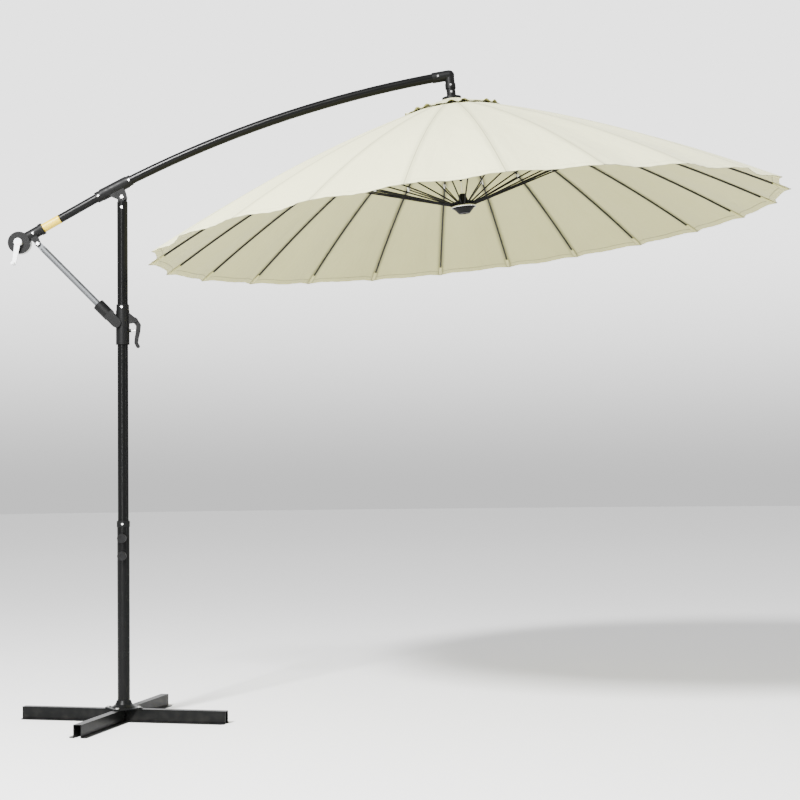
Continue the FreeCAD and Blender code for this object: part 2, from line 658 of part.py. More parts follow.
axis_at = float(S.axis_offset)
sleeve_main = cylinder("sleeve_main", S.sleeve_d / 2, S.sleeve_rear + S.sleeve_front,
                       toward(ARM.multVec(Vector(-float(S.sleeve_rear), 0, axis_at)), arm_x))
rear_collar = cylinder("sleeve_rear_collar", S.sleeve_d / 2 - 2, 26,
                       toward(ARM.multVec(Vector(-float(S.sleeve_rear) - 23, 0, axis_at - 0.5)), arm_x))
front_collar = cylinder("sleeve_front_collar", S.sleeve_d / 2 - 2.3, 20,
                        toward(ARM.multVec(Vector(float(S.sleeve_front) - 3, 0, axis_at - 0.2)), arm_x))
ear_low = float(S.tongue_thick) / 2 + float(S.gap)
sleeve_parts = [sleeve_main, rear_collar, front_collar]
for word, low, fin_low in (
    ("front", -ear_low - float(S.ear_thick), -ear_low - float(S.ear_thick) - 2.5),
    ("back", ear_low, ear_low + float(S.ear_thick)),
):
    ear_frame = ARM.multiply(axes(Vector(0, low, 0), Vector(-1, 0, 0), ACROSS))
    half = S.head_width / 2
    sleeve_parts.append(taper("pivot_ear_" + word, (-1 * half, half), (-24, 46), 34, S.ear_thick,
                              ear_frame))
    sleeve_parts.append(cross_pin("pivot_ear_end_" + word, half, low, low + float(S.ear_thick), PIVOT))
    for k, fin_x in enumerate((-20, -14, -8)):
        sleeve_parts.append(block("pivot_fin_%s_%d" % (word, k), (1.6, 2.5, 16),
                                  (fin_x, fin_low + 1.25, 26), ARM))
front_socket = bent_rod("sleeve_front_socket", S.arm_bend, S.front_d / 2 + S.fit,
                        math.degrees(130 / float(S.arm_bend)), arc_frame(BEND_CENTRE,
                                                                         arm_angle(-tube_in - 1)))
rear_socket = cylinder("sleeve_rear_socket", S.rear_d / 2 + S.fit, 80,
                       toward(REAR.multVec(Vector(rear_in - 1, 0, 0)), rear_x))
cord_way = cylinder("sleeve_cord_way", 14.5, 30, toward(ARM.multVec(Vector(-58, 0, axis_at)), arm_x))
node("pivot_sleeve", cut("pivot_sleeve", fuse("sleeve_solid", *sleeve_parts), front_socket, rear_socket,
                         cord_way, pivot_way, rear_way, front_way))

rear_solid = cylinder("rear_outside", S.rear_d / 2, rear_end - rear_in, rear_from)
rear_bore = cylinder("rear_bore", S.rear_d / 2 - S.tube_wall, rear_end - rear_in + 2,
                     toward(REAR.multVec(Vector(rear_in - 1, 0, 0)), rear_x))
node("arm_rear_tube", cut("arm_rear_tube", rear_solid, rear_bore, rear_way, neck_way))

# crank housing in two shells, the front one with the neck that holds the rear tube
CRANK = REAR.multVec(Vector(float(S.housing_reach), 0, float(S.housing_drop)))
half_thick = float(S.housing_thick) / 2
wall = float(S.shell_wall)
front_disc = cross_pin("housing_front_disc", S.housing_d / 2, -half_thick, 0.0, CRANK)
neck = cylinder("housing_neck", S.rear_d / 2 + 4, 78, toward(REAR.multVec(Vector(250, 0, 0)), rear_x))
lip = cylinder("housing_lip", S.rear_d / 2 + 6.5, 15, toward(REAR.multVec(Vector(247, 0, 0)), rear_x))
pad_top = S.rear_d / 2 + 7
pad = block("housing_pad", (26, 30, pad_top), (S.lug_reach + 0.8, 0, pad_top / 2), REAR)
cavity = cross_pin("housing_cavity", S.housing_d / 2 - 3.5, -half_thick + wall, 0.5, CRANK)
neck_bore = cylinder("housing_neck_bore", S.rear_d / 2 + S.fit, rear_end - 240 + 1,
                     toward(REAR.multVec(Vector(240, 0, 0)), rear_x))
throat = cylinder("housing_throat", 14.5, 40, toward(REAR.multVec(Vector(rear_end - 2, 0, 0)), rear_x))
back_room = cross_pin("housing_back_room", S.housing_d / 2 + S.gap, 0.0, 40.0, CRANK)
shaft_r = 5.0
shaft_way = cross_pin("housing_shaft_way", shaft_r + S.fit, -50.0, half_thick - 1.5, CRANK)
node("crank_housing_front", cut("crank_housing_front",
                                fuse("housing_front_solid", front_disc, neck, lip, pad),
                                cavity, neck_bore, throat, back_room, shaft_way, neck_way))
back_disc = cross_pin("housing_back_disc", S.housing_d / 2, 0.1, half_thick, CRANK)
back_cavity = cross_pin("housing_back_cavity", S.housing_d / 2 - 3.5, -1.0, half_thick - wall, CRANK)
neck_room = cylinder("housing_neck_room", S.rear_d / 2 + 4.4, 70,
                     toward(REAR.multVec(Vector(262, 0, 0)), rear_x))
node("crank_housing_back", cut("crank_housing_back", back_disc, back_cavity, neck_room, shaft_way))

lug_base_z = float(pad_top) + 2.3
lug_parts = [block("lug_base", (24, 30, 4), (S.lug_reach + 0.8, 0, lug_base_z), REAR)]
for word, low in (("front", -15.0), ("back", 11.0)):
    lug_parts.append(block("lug_ear_" + word, (20, 4, lug_at.z - lug_base_z),
                           (lug_at.x, low + 2, (lug_at.z + lug_base_z) / 2), REAR))
    lug_parts.append(cross_pin("lug_end_" + word, 11, low, low + 4, PIN))
lug_way = cross_pin("lug_way", pin_r + S.pin_fit, -30.0, 30.0, PIN)
node("strut_lug", cut("strut_lug", fuse("lug_solid", *lug_parts), lug_way))

# ---------------------------------------------------------------- canopy frame, elbow and post
CORNER = BEND_CENTRE + slope(arm_angle(0) - float(S.arm_sweep)) * float(S.arm_bend)
LEAN = Rotation(ACROSS, float(S.canopy_tilt))
axis_up = LEAN.multVec(UP)
CANOPY = Placement(CORNER - axis_up * float(S.corner_z), LEAN)
axis_down = axis_up * -1


def on_axis(height):
    return CANOPY.multVec(Vector(0, 0, float(height)))


corner_slope = arm_angle(0) - 90 - float(S.arm_sweep)
leg_back = slope(corner_slope + 180)
elbow_r = S.front_d / 2 + 3
post_r = S.post_d / 2
ring_top = 34.0
ring_length = 20.5
disc_gap = 0.4
arm_leg = cylinder("elbow_arm_leg", elbow_r, 68, toward(CORNER, leg_back))
corner_ball = ball("elbow_corner", elbow_r - 0.5, CORNER)
down_leg = cylinder("elbow_down_leg", post_r + 5, ring_top + 5, toward(CORNER, axis_down))
ring = cylinder("elbow_ring", post_r + 7, ring_length, toward(CORNER + axis_down * ring_top, axis_down))
elbow_socket = bent_rod("elbow_arm_socket", S.arm_bend, S.front_d / 2 + 2 * S.fit,
                        math.degrees(60 / float(S.arm_bend)),
                        arc_frame(BEND_CENTRE, arm_angle(0) - float(S.arm_sweep)
                                  + math.degrees((corner_gap - 1 + 60) / float(S.arm_bend))))
elbow_channel = cylinder("elbow_channel", 14.5, corner_gap + 4, toward(CORNER, leg_back))
elbow_room = ball("elbow_room", post_r + 2, CORNER)
post_socket = cylinder("elbow_post_socket", post_r + S.fit, 50, toward(CORNER + axis_down * 12, axis_down))

# the cord: drum, rear tube, front tube, round the elbow guide, down the post to the runner
coil_r = S.coil_d / 2
cord_r = S.cord_d / 2
guide_r = 7.0
turn_r = guide_r + cord_r + 0.3
ride = REAR.multVec(Vector(float(S.housing_reach), 0, float(S.housing_drop - coil_r + cord_r)))
forward = rear_x * -1
to_foot = (BEND_CENTRE - ride).dot(forward)
FOOT = ride + forward * to_foot
cord_bend = (FOOT - BEND_CENTRE).Length
beside = CANOPY.Rotation.multVec(Vector(-float(turn_r), 0, 0)) + CANOPY.Base
rel = beside - BEND_CENTRE
along = rel.dot(axis_up)
rise = -along + math.sqrt(along ** 2 - rel.Length ** 2 + (cord_bend - float(turn_r)) ** 2)
GUIDE = beside + axis_up * rise


def heading(vector):
    return math.degrees(math.atan2(vector.z, vector.x))


foot_angle = heading(FOOT - BEND_CENTRE)
guide_angle = heading(GUIDE - BEND_CENTRE)
end_angle = heading(CANOPY.Rotation.multVec(Vector(1, 0, 0)))
knot_z = 92.0
leave = GUIDE + CANOPY.Rotation.multVec(Vector(float(turn_r), 0, 0))
drop = (leave - on_axis(knot_z)).Length
coil = tube("cord_coil", coil_r, S.drum_d / 2 + 0.3, 13,
            toward(Vector(CRANK.x, -6.5, CRANK.z), ACROSS))
cord_parts = [
    coil,
    cylinder("cord_rear", cord_r, to_foot, toward(ride, forward)),
    bent_rod("cord_arm", cord_bend, cord_r, foot_angle - guide_angle, arc_frame(BEND_CENTRE, foot_angle)),
    bent_rod("cord_turn", turn_r, cord_r, guide_angle - end_angle, arc_frame(GUIDE, guide_angle)),
    cylinder("cord_drop", cord_r, drop, toward(leave, axis_down)),
    ball("cord_knot", 5, on_axis(knot_z)),
]
node("lift_cord", fuse("lift_cord", *cord_parts))

guide_way = cross_pin("guide_way", guide_r + S.pin_fit, -13.0, 13.0, GUIDE)
elbow_way_1 = screw_way("elbow_way_1", CORNER + leg_back * 46)
elbow_way_2 = screw_way("elbow_way_2", CORNER + axis_down * (ring_top + 8))
elbow_way_3 = screw_way("elbow_way_3", CORNER + axis_down * 69)
node("elbow", cut("elbow", fuse("elbow_solid", arm_leg, corner_ball, down_leg, ring), elbow_socket,
                  elbow_channel,
                  elbow_room, post_socket, guide_way, elbow_way_1, elbow_way_2))
node("arm_front_tube", cut("arm_front_tube", front_outside, front_inside, front_way, elbow_way_1))

# post with its nose, in the canopy's own frame from here on
post_top = S.corner_z - 22
nose_top = S.nose_z + 26
post_outside = cylinder("post_outside", post_r, post_top - nose_top,
                        Placement(Vector(0, 0, float(nose_top)), Rotation()))
nose = cone("post_nose", 5, post_r, nose_top - S.nose_z,
            Placement(Vector(0, 0, float(S.nose_z)), Rotation()))
post_bore = cylinder("post_bore", post_r - 2, post_top - nose_top,
                     Placement(Vector(0, 0, float(nose_top) + 2), Rotation()))
nose_bore = cylinder("nose_bore", 3, 60, Placement(Vector(0, 0, float(S.nose_z) - 5), Rotation()))
IN_CANOPY = CANOPY.inverse()


def canopy_way(name, world_point):
    at = IN_CANOPY.multVec(world_point)
    return cross_pin(name, screw_hole + S.pin_fit, -40.0, 40.0, at)


post_way_2 = canopy_way("post_way_2", CORNER + axis_down * (ring_top + 8))
post_way_3 = canopy_way("post_way_3", CORNER + axis_down * 69)
node("canopy_post", cut("canopy_post", fuse("post_solid", post_outside, nose), post_bore, nose_bore,
                        post_way_2, post_way_3), CANOPY)

disc_top = float(S.disc_z) + 12
neck_top = float(S.corner_z) - ring_top - ring_length - disc_gap
disc_plate = cylinder("disc_plate", S.disc_d / 2, 11, Placement(Vector(0, 0, float(S.disc_z)), Rotation()))
disc_bell = cone("disc_bell", S.disc_d / 2 - 3, post_r + 4, 7,
                 Placement(Vector(0, 0, float(S.disc_z) + 10.5), Rotation()))
disc_neck = cylinder("disc_neck", post_r + 4, neck_top - disc_top,
                     Placement(Vector(0, 0, disc_top), Rotation()))
disc_bore = cylinder("disc_bore", post_r + S.fit, 80,
                     Placement(Vector(0, 0, float(S.disc_z) - 5), Rotation()))
disc_seat = cone("disc_seat", 43.6, 12.9, 10.0, Placement(Vector(0, 0, float(S.disc_z) - 2.2), Rotation()))
node("canopy_disc", cut("canopy_disc", fuse("disc_solid", disc_plate, disc_bell, disc_neck), disc_bore,
                        disc_seat,
                        post_way_3), CANOPY)

# cover arc: centre of the cover's meridian, on the far side of the axis
slope_0 = math.radians(float(S.canopy_slope))


def meridian_radius():
    """Radius of the arc that leaves the apex at the given slope and reaches the rim."""
    run, fall = float(S.canopy_radius), float(S.canopy_height)
    chord = math.hypot(run, fall)
    half_turn = math.atan2(fall, run) - slope_0
    return chord / (2 * math.sin(half_turn))


cover_r = meridian_radius()
CENTRE_R = -cover_r * math.sin(slope_0)
CENTRE_Z = float(S.canopy_height) - cover_r * math.cos(slope_0)
rib_r = S.rib_d / 2
rib_bend = cover_r - float(S.cloth_thick) - 0.6 - float(rib_r)


def meridian(radius_of_arc, at_r, lift=0.0):
    """Point at a distance from the axis on an arc about the cover's centre."""
    return Vector(at_r, 0, CENTRE_Z + lift + math.sqrt(radius_of_arc ** 2 - (at_r - CENTRE_R) ** 2))


def shell(name, inner_r, outer_r, lift):
    """Cover of revolution between two radii, with square edges."""
    outer_a, outer_b = meridian(cover_r, inner_r, lift), meridian(cover_r, outer_r, lift)
    middle = (inner_r + outer_r) / 2
    centre = Vector(CENTRE_R, 0, CENTRE_Z + lift)
    factor = (cover_r - float(S.cloth_thick)) / cover_r
    outer_m = meridian(cover_r, middle, lift)
    inner_a, inner_m, inner_b = [centre + (p - centre) * factor for p in (outer_a, outer_m, outer_b)]
    edges = [
        Part.Arc(outer_a, outer_m, outer_b).toShape(),
        Part.makeLine(outer_b, inner_b),
        Part.Arc(inner_b, inner_m, inner_a).toShape(),
        Part.makeLine(inner_a, outer_a),
    ]
    profile = doc.addObject("Part::Feature", name + "_profile")
    profile.Shape = Part.Face(Part.Wire(edges))
    made = doc.addObject("Part::Revolution", name)
    made.Source = profile
    made.Axis = UP
    made.Base = ORIGIN
    made.Angle = 360
    made.Solid = True
    return made


def scalloped(name, cover, tip_r, depth, low, high):
    """Cover with one concave rim arc between each pair of rib tips."""
    half_gore = math.pi / float(S.rib_count)
    half_chord = float(tip_r) * math.sin(half_gore)
    arc = (half_chord ** 2 + float(depth) ** 2) / (2 * float(depth))
    middle = float(tip_r) * math.cos(half_gore) - float(depth) + arc
    biter = cylinder(name + "_scallop", arc, high - low, Placement(Vector(middle, 0, low), Rotation()))
    gore = 360.0 / float(S.rib_count)
    return cut(name, cover, around(name + "_scallops", biter, S.rib_count, float(S.rib_phase) + gore / 2))


cover = shell("cover_round", float(S.vent_hole), float(S.canopy_radius) - 2, 0.0)
node("canopy", scalloped("canopy", cover, S.canopy_radius, S.scallop, -60.0, 160.0), CANOPY)
vent = shell("vent_round", float(S.post_d) / 2 + 1, float(S.vent_radius) - 1, float(S.vent_lift))
node("vent_cap", scalloped("vent_cap", vent, S.vent_radius, S.vent_scallop, 400.0, 560.0), CANOPY)



def hinge_pins(name, circle, radius, slack, height):
    """One straight pin on each hinge axis of a ring, short of its neighbours."""
    half = (float(circle) - 1.3) * math.tan(math.pi / float(S.rib_count)) - 0.1 - slack
    pin = cross_pin(name + "_pin", radius, -half, half, Vector(float(circle), 0, float(height)))
    return around(name, pin, S.rib_count, float(S.rib_phase))


# rib hub
HINGE = meridian(rib_bend, float(S.hub_circle))
hub_low = HINGE.z - 9
hub_high = HINGE.z + 5.5
eye_width = 5.0
hub_round = cylinder("hub_round", S.hub_circle + 8, hub_high - hub_low,
                     Placement(Vector(0, 0, hub_low), Rotation()))
hub_bore = cylinder("hub_bore", post_r + S.fit, 40, Placement(Vector(0, 0, hub_low - 5), Rotation()))
hub_slot = block("hub_slot", (30, eye_width + 0.8, 40), (float(S.hub_circle) + 8, 0, HINGE.z))
hub_pin_ways = hinge_pins("hub_pin_ways", S.hub_circle, S.wire_d / 2 + S.pin_fit, 0.0, HINGE.z)
hub_slots = around("hub_slots", hub_slot, S.rib_count, float(S.rib_phase))
hub_blank = cut("hub_blank", hub_round, hub_bore)
node("rib_hub", cut("rib_hub", cut("hub_slotted", hub_blank, hub_slots), hub_pin_ways), CANOPY)

hub_pins = hinge_pins("hub_pins", S.hub_circle, S.wire_d / 2, 0.15, HINGE.z)
hub_pins.Placement = CANOPY
pivot_half = ear_low + float(S.ear_thick) + 0.1
node("arm_pins", group(
    "arm_pins",
    rivet("pivot_rivet", S.pivot_pin_d / 2, pivot_half, 6.5, PIVOT),
    rivet("strut_rivet", pin_r, 15.1, 6.5, PIN),
    cross_pin("cord_guide", guide_r, -12.5, 12.5, GUIDE),
    hub_pins,
    *wall_screws("rear_screw", rear_screw_at, sleeve_r - 1.0, 6.5),
    *wall_screws("front_screw", front_screw_at, sleeve_r - 2.2),
    *wall_screws("neck_screw", neck_screw_at, float(S.rear_d) / 2 + 4),
    *wall_screws("elbow_screw_1", CORNER + leg_back * 46, float(elbow_r)),
    *wall_screws("elbow_screw_2", CORNER + axis_down * (ring_top + 8), float(post_r) + 7, 8.0),
    *wall_screws("elbow_screw_3", CORNER + axis_down * 69, float(post_r) + 4),
))

# ribs
start_angle = math.degrees(math.asin((HINGE.x - CENTRE_R) / rib_bend))
end_turn = math.degrees(math.asin((float(S.rib_reach) - CENTRE_R) / rib_bend))
MERIDIAN_CENTRE = Vector(CENTRE_R, 0, CENTRE_Z)
rib_neck = 14.0
rod_from = start_angle + math.degrees(rib_neck / rib_bend)
eye = cross_pin("rib_eye", 4.5, -eye_width / 2, eye_width / 2, HINGE)
eye_way = cross_pin("rib_eye_way", S.wire_d / 2 + 0.3, -10.0, 10.0, HINGE)
strap = block("rib_strap", (rib_neck + 2, eye_width, 6), (rib_neck / 2 + 1, 0, 0),
              in_plane(HINGE, slope(-start_angle)))
rod = bent_rod("rib_rod", rib_bend, rib_r, end_turn - rod_from,
               axes(MERIDIAN_CENTRE, slope(90 - rod_from), ACROSS))
tip = ball("rib_tip", rib_r, meridian(rib_bend, float(S.rib_reach)))
rib = cut("rib_bar", fuse("rib_solid", eye, strap, rod, tip), eye_way)

CLIP = meridian(rib_bend, float(S.clip_circle))
clip_turn = math.degrees(math.asin((CLIP.x - CENTRE_R) / rib_bend))
CLIP_FRAME = in_plane(CLIP, slope(-clip_turn))
pin_down = float(S.clip_drop)
clip_body = block("clip_body", (16, 10, pin_down + 7), (0, 0, -(pin_down + 7) / 2 + 3), CLIP_FRAME)
clip_way = bent_rod("clip_way", rib_bend, rib_r + S.pin_fit, 1.0,
                    axes(MERIDIAN_CENTRE, slope(90 - clip_turn + 0.5), ACROSS))
clip_slot = block("clip_slot", (20, 3.8, 12), (0, 0, -4.5 - 6), CLIP_FRAME)
CLIP_PIN = CLIP_FRAME.multVec(Vector(0, 0, -pin_down))
pin_small = cross_pin("clip_pin", 1.25, -5.0, 5.0, CLIP_PIN)
clip = fuse("rib_clip", cut("clip_cut", clip_body, clip_way, clip_slot), pin_small)
one_rib = group("rib_pieces", rib, clip)
for k in range(int(S.rib_count)):
    turn = 180 + float(S.rib_phase) + 360.0 / float(S.rib_count) * k
    name = "rib_%02d" % (k + 1)
    node(name, turned(name, one_rib, turn, CANOPY))

# stretchers and runner
RUNNER_PIN = Vector(float(S.runner_circle), 0, float(S.runner_z))
link = CLIP_PIN - RUNNER_PIN
link_slope = math.degrees(math.atan2(link.z, link.x))
LINK = in_plane(RUNNER_PIN, slope(link_slope))
link_long = link.Length
flat_thick = 3.0
stretcher_parts = [
    cylinder("stretcher_rod", S.stretcher_d / 2, link_long - 28,
             toward(LINK.multVec(Vector(14, 0, 0)), LINK.Rotation.multVec(Vector(1, 0, 0)))),
    block("stretcher_flat_in", (18, flat_thick, 5), (9, 0, 0), LINK),
    block("stretcher_flat_out", (18, flat_thick, 5), (link_long - 9, 0, 0), LINK),
    cross_pin("stretcher_eye_in", 3.5, -flat_thick / 2, flat_thick / 2, RUNNER_PIN),
    cross_pin("stretcher_eye_out", 3.5, -flat_thick / 2, flat_thick / 2, CLIP_PIN),
]
eyes = [
    cross_pin("stretcher_way_in", S.wire_d / 2 + 0.3, -10.0, 10.0, RUNNER_PIN),
    cross_pin("stretcher_way_out", 1.55, -10.0, 10.0, CLIP_PIN),
]
stretcher = cut("stretcher", fuse("stretcher_solid", *stretcher_parts), *eyes)
runner_pins = hinge_pins("runner_pins", S.runner_circle, S.wire_d / 2, 0.15, S.runner_z)
stretcher_ring = around("stretcher_ring", stretcher, S.rib_count, float(S.rib_phase))
node("stretchers", group("stretchers", stretcher_ring, runner_pins), CANOPY)

runner_low = float(S.runner_z) - 34
flange = cylinder("runner_flange", S.runner_d / 2, 20,
                  Placement(Vector(0, 0, float(S.runner_z) - 10), Rotation()))
bowl = cone("runner_bowl", 22, S.runner_d / 2 - 4, 24.5, Placement(Vector(0, 0, runner_low), Rotation()))
runner_neck = cone("runner_neck", 22.5, 11.5, 34.5, Placement(Vector(0, 0, float(S.runner_z) + 9.5),
                                                              Rotation()))
runner_bore = cylinder("runner_bore", 2.5, 100, Placement(Vector(0, 0, runner_low - 5), Rotation()))
knot_room = cylinder("runner_knot_room", 8, 20, Placement(Vector(0, 0, runner_low - 1), Rotation()))
runner_slot = block("runner_slot", (24, flat_thick + 0.8, 30),
                    (float(S.runner_circle) + 6, 0, float(S.runner_z)))
runner_pin_ways = hinge_pins("runner_pin_ways", S.runner_circle, S.wire_d / 2 + S.pin_fit, 0.0, S.runner_z)
runner_blank = cut("runner_blank", fuse("runner_solid", flange, bowl, runner_neck), runner_bore, knot_room)
runner_slots = around("runner_slots", runner_slot, S.rib_count, float(S.rib_phase))
node("runner", cut("runner", cut("runner_slotted", runner_blank, runner_slots), runner_pin_ways), CANOPY)

# ---------------------------------------------------------------- crank
drum_core = cross_pin("drum_core", S.drum_d / 2, -7.0, 7.0, CRANK)
drum_front = cross_pin("drum_front", 24, -9.5, -7.0, CRANK)
drum_back = cross_pin("drum_back", 24, 7.0, 9.5, CRANK)
shaft = cross_pin("drum_shaft", shaft_r, -half_thick - 14, half_thick - 2, CRANK)
node("cord_drum", fuse("cord_drum", drum_core, drum_front, drum_back, shaft))

crank_hang = 260.2
HANDLE = in_plane(CRANK, slope(crank_hang))
face = -half_thick - 2
boss = cross_pin("handle_boss", 15, face - 14, face, CRANK)
handle_way = cross_pin("handle_way", shaft_r + S.pin_fit, face - 12, face + 1, CRANK)
bar_frame = HANDLE.multiply(axes(Vector(0, face - 14, 0), Vector(0, 0, 1), Vector(0, 1, 0)))
handle_bar = taper("handle_bar", (-11, 11), (-7, 7), S.crank_reach, 7, bar_frame)
GRIP = HANDLE.multVec(Vector(float(S.crank_reach), 0, 0))
handle_end = cross_pin("handle_end", 7, face - 14, face - 7, GRIP)
grip_pin = cross_pin("grip_pin", 2.5, face - 41, face - 10, GRIP)
grip_head = cross_pin("grip_head", 4.5, face - 42.5, face - 40.5, GRIP)
handle_solid = fuse("handle_solid", boss, handle_bar, handle_end, grip_pin, grip_head)
node("crank_handle", cut("crank_handle", handle_solid, handle_way))

grip_round = cross_pin("grip_round", 6.5, face - 40, face - 14.5, GRIP)
grip_way = cross_pin("grip_way", 2.5 + S.pin_fit, face - 45, face - 10, GRIP)
node("crank_grip", cut("crank_grip", grip_round, grip_way))

# ---------------------------------------------------------------- check and write
doc.recompute()
bad = []
for obj in doc.Objects:
    states = [s for s in obj.State if "Invalid" in s or "Error" in s]
    if states:
        bad.append("%s: %s" % (obj.Name, states))
    if hasattr(obj, "Shape") and (obj.Shape.isNull() or not obj.Shape.isValid()):
        bad.append("%s: bad shape" % obj.Name)
if bad:
    raise RuntimeError("; ".join(bad[:12]))
os.makedirs("parts", exist_ok=True)
for name, obj in NODES:
    obj.Shape.exportStep("parts/" + name + ".step")
print("%d nodes written" % len(NODES))
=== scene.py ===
import math

import bpy
import numpy as np
from mathutils import Matrix, Vector


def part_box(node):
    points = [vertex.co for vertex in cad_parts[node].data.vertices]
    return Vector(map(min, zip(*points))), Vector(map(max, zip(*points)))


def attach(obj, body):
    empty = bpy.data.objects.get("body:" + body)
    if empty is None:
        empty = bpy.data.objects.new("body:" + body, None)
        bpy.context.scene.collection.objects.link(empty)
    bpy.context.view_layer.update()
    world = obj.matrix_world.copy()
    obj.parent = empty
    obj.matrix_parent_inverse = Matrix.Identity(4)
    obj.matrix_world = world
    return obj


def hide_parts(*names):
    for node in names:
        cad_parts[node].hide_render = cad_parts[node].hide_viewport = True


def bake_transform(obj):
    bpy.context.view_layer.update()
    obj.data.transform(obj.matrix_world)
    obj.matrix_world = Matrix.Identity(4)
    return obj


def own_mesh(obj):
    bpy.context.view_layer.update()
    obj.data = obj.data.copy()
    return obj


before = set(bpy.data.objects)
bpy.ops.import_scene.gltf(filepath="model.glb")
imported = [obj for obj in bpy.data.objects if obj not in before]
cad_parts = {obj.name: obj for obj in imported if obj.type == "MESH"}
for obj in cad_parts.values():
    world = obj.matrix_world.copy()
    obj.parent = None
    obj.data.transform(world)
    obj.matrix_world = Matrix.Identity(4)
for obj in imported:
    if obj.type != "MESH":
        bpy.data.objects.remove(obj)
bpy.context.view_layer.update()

# Cantilever parasol. Lengths in metres: X runs from the pole along the arm, Z is up, and the origin is the
# foot of the pole. Points of the canopy are given round its own axis: turn (radians), reach from the axis,
# height above the rim plane.
RIM_CENTRE = np.array([1.354982, 0.0, 1.885934])
CANOPY_LEAN = math.radians(5.53)
RIM_RADIUS, RISE, APEX_SLOPE = 1.25, 0.54, math.radians(17)
RIBS, FIRST_RIB = 24, math.radians(180 + 3.4)
HALF_GORE = math.pi / RIBS
CLOTH = 0.0008
RIM_SCALLOP = 0.025
VENT_HOLE, VENT_RIM, VENT_GAP, VENT_SCALLOP = 0.110, 0.197, 0.006, 0.006
RIB_RADIUS, STRETCHER_RADIUS = 0.0035, 0.003
RUNNER_HINGE = (0.040, 0.115)
CLIP_REACH, CLIP_DROP = 0.615, 0.0105
# Cloth: gap from the lining to the ribs, slack puckers and how far they reach in from the rim, half widths of
# the hem and the seam, the welts' edge, how far they stand out, and the pitches of the threads and stitches.
COVER_GAP = 0.0006
PUCKER, PUCKER_FADE = 0.0007, 0.05
HEM, SEAM, WELT_EDGE = 0.0235, 0.0066, 0.002
WELT_LIFT, LINING_DROP = 0.0006, 0.0007
VENT_HEM, VENT_SEAM, VENT_HEM_EDGE, VENT_LIFT, VENT_INNER = 0.0092, 0.005, 0.0015, 0.0005, 0.040
CROWN_INNER, CROWN_RIM = 0.0152, 0.047
THREAD, STITCH, SEAM_STITCH, HEM_STITCH = 0.0011, 0.004, 0.0042, 0.0205
CORD_RADIUS = 0.0015

ACROSS_RIM = np.array([math.cos(CANOPY_LEAN), 0.0, math.sin(CANOPY_LEAN)])
SIDEWAYS = np.array([0.0, 1.0, 0.0])
CANOPY_AXIS = np.array([-math.sin(CANOPY_LEAN), 0.0, math.cos(CANOPY_LEAN)])

HALF_TURN = math.atan2(RISE, RIM_RADIUS) - APEX_SLOPE
COVER_BEND = math.hypot(RIM_RADIUS, RISE) / (2 * math.sin(HALF_TURN))
BEND_REACH = -COVER_BEND * math.sin(APEX_SLOPE)
BEND_HEIGHT = RISE - COVER_BEND * math.cos(APEX_SLOPE)
# Radius of the arc that the top of each rib follows, just under the lining.
ROD_TOP = COVER_BEND - CLOTH - COVER_GAP


# ---------------------------------------------------------------- shapes


def in_canopy(turn, reach, height):
    """Canopy point: rim centre + reach*(cos turn, sin turn) + height along the canopy axis."""
    turn, reach, height = np.broadcast_arrays(turn, reach, height)
    return (RIM_CENTRE + (reach * np.cos(turn))[..., None] * ACROSS_RIM
            + (reach * np.sin(turn))[..., None] * SIDEWAYS + height[..., None] * CANOPY_AXIS)


def rib_turn(k):
    """Turn of rib k (1 to 24): the first rib's turn plus k-1 gores."""
    return FIRST_RIB + (k - 1) * 2 * HALF_GORE


def rib_ways(k):
    """Unit vectors out along rib k and across it, both in the rim plane."""
    turn = rib_turn(k)
    outward = math.cos(turn) * ACROSS_RIM + math.sin(turn) * SIDEWAYS
    across = -math.sin(turn) * ACROSS_RIM + math.cos(turn) * SIDEWAYS
    return outward, across


def placed(x_way, y_way, z_way, origin):
    """Matrix that lays a shape's own axes along three directions, at a point."""
    columns = np.column_stack([x_way, y_way, z_way, origin])
    return Matrix(np.vstack([columns, [0, 0, 0, 1]]).tolist())


def soft_corner(x, size):
    """Rounded |x|: sqrt(x^2 + size^2) - size."""
    return np.sqrt(x * x + size * size) - size


def welt(distance, half_width, edge):
    """1 on a strip of cloth and 0 beside it: a smooth step of width edge at half_width."""
    t = np.clip((half_width + edge / 2 - np.abs(distance)) / edge, 0, 1)
    return t * t * (3 - 2 * t)


def rim_reach(off_rib, tip, depth):
    """Reach of a scalloped edge: a circle's near side, through both rib tips and inside their chord."""
    half_chord = tip * math.sin(HALF_GORE)
    arc = (half_chord ** 2 + depth ** 2) / (2 * depth)
    middle = tip * math.cos(HALF_GORE) - depth + arc
    off_middle = HALF_GORE - np.abs(off_rib)
    return middle * np.cos(off_middle) - np.sqrt(arc ** 2 - (middle * np.sin(off_middle)) ** 2)


def gore_hollow(gore):
    """How slack each gore is, from 0.75 to 1.25, the same on each run."""
    return 1 + 0.25 * math.sin(gore * 2.4 + 1.0) * math.cos(gore * 0.9)


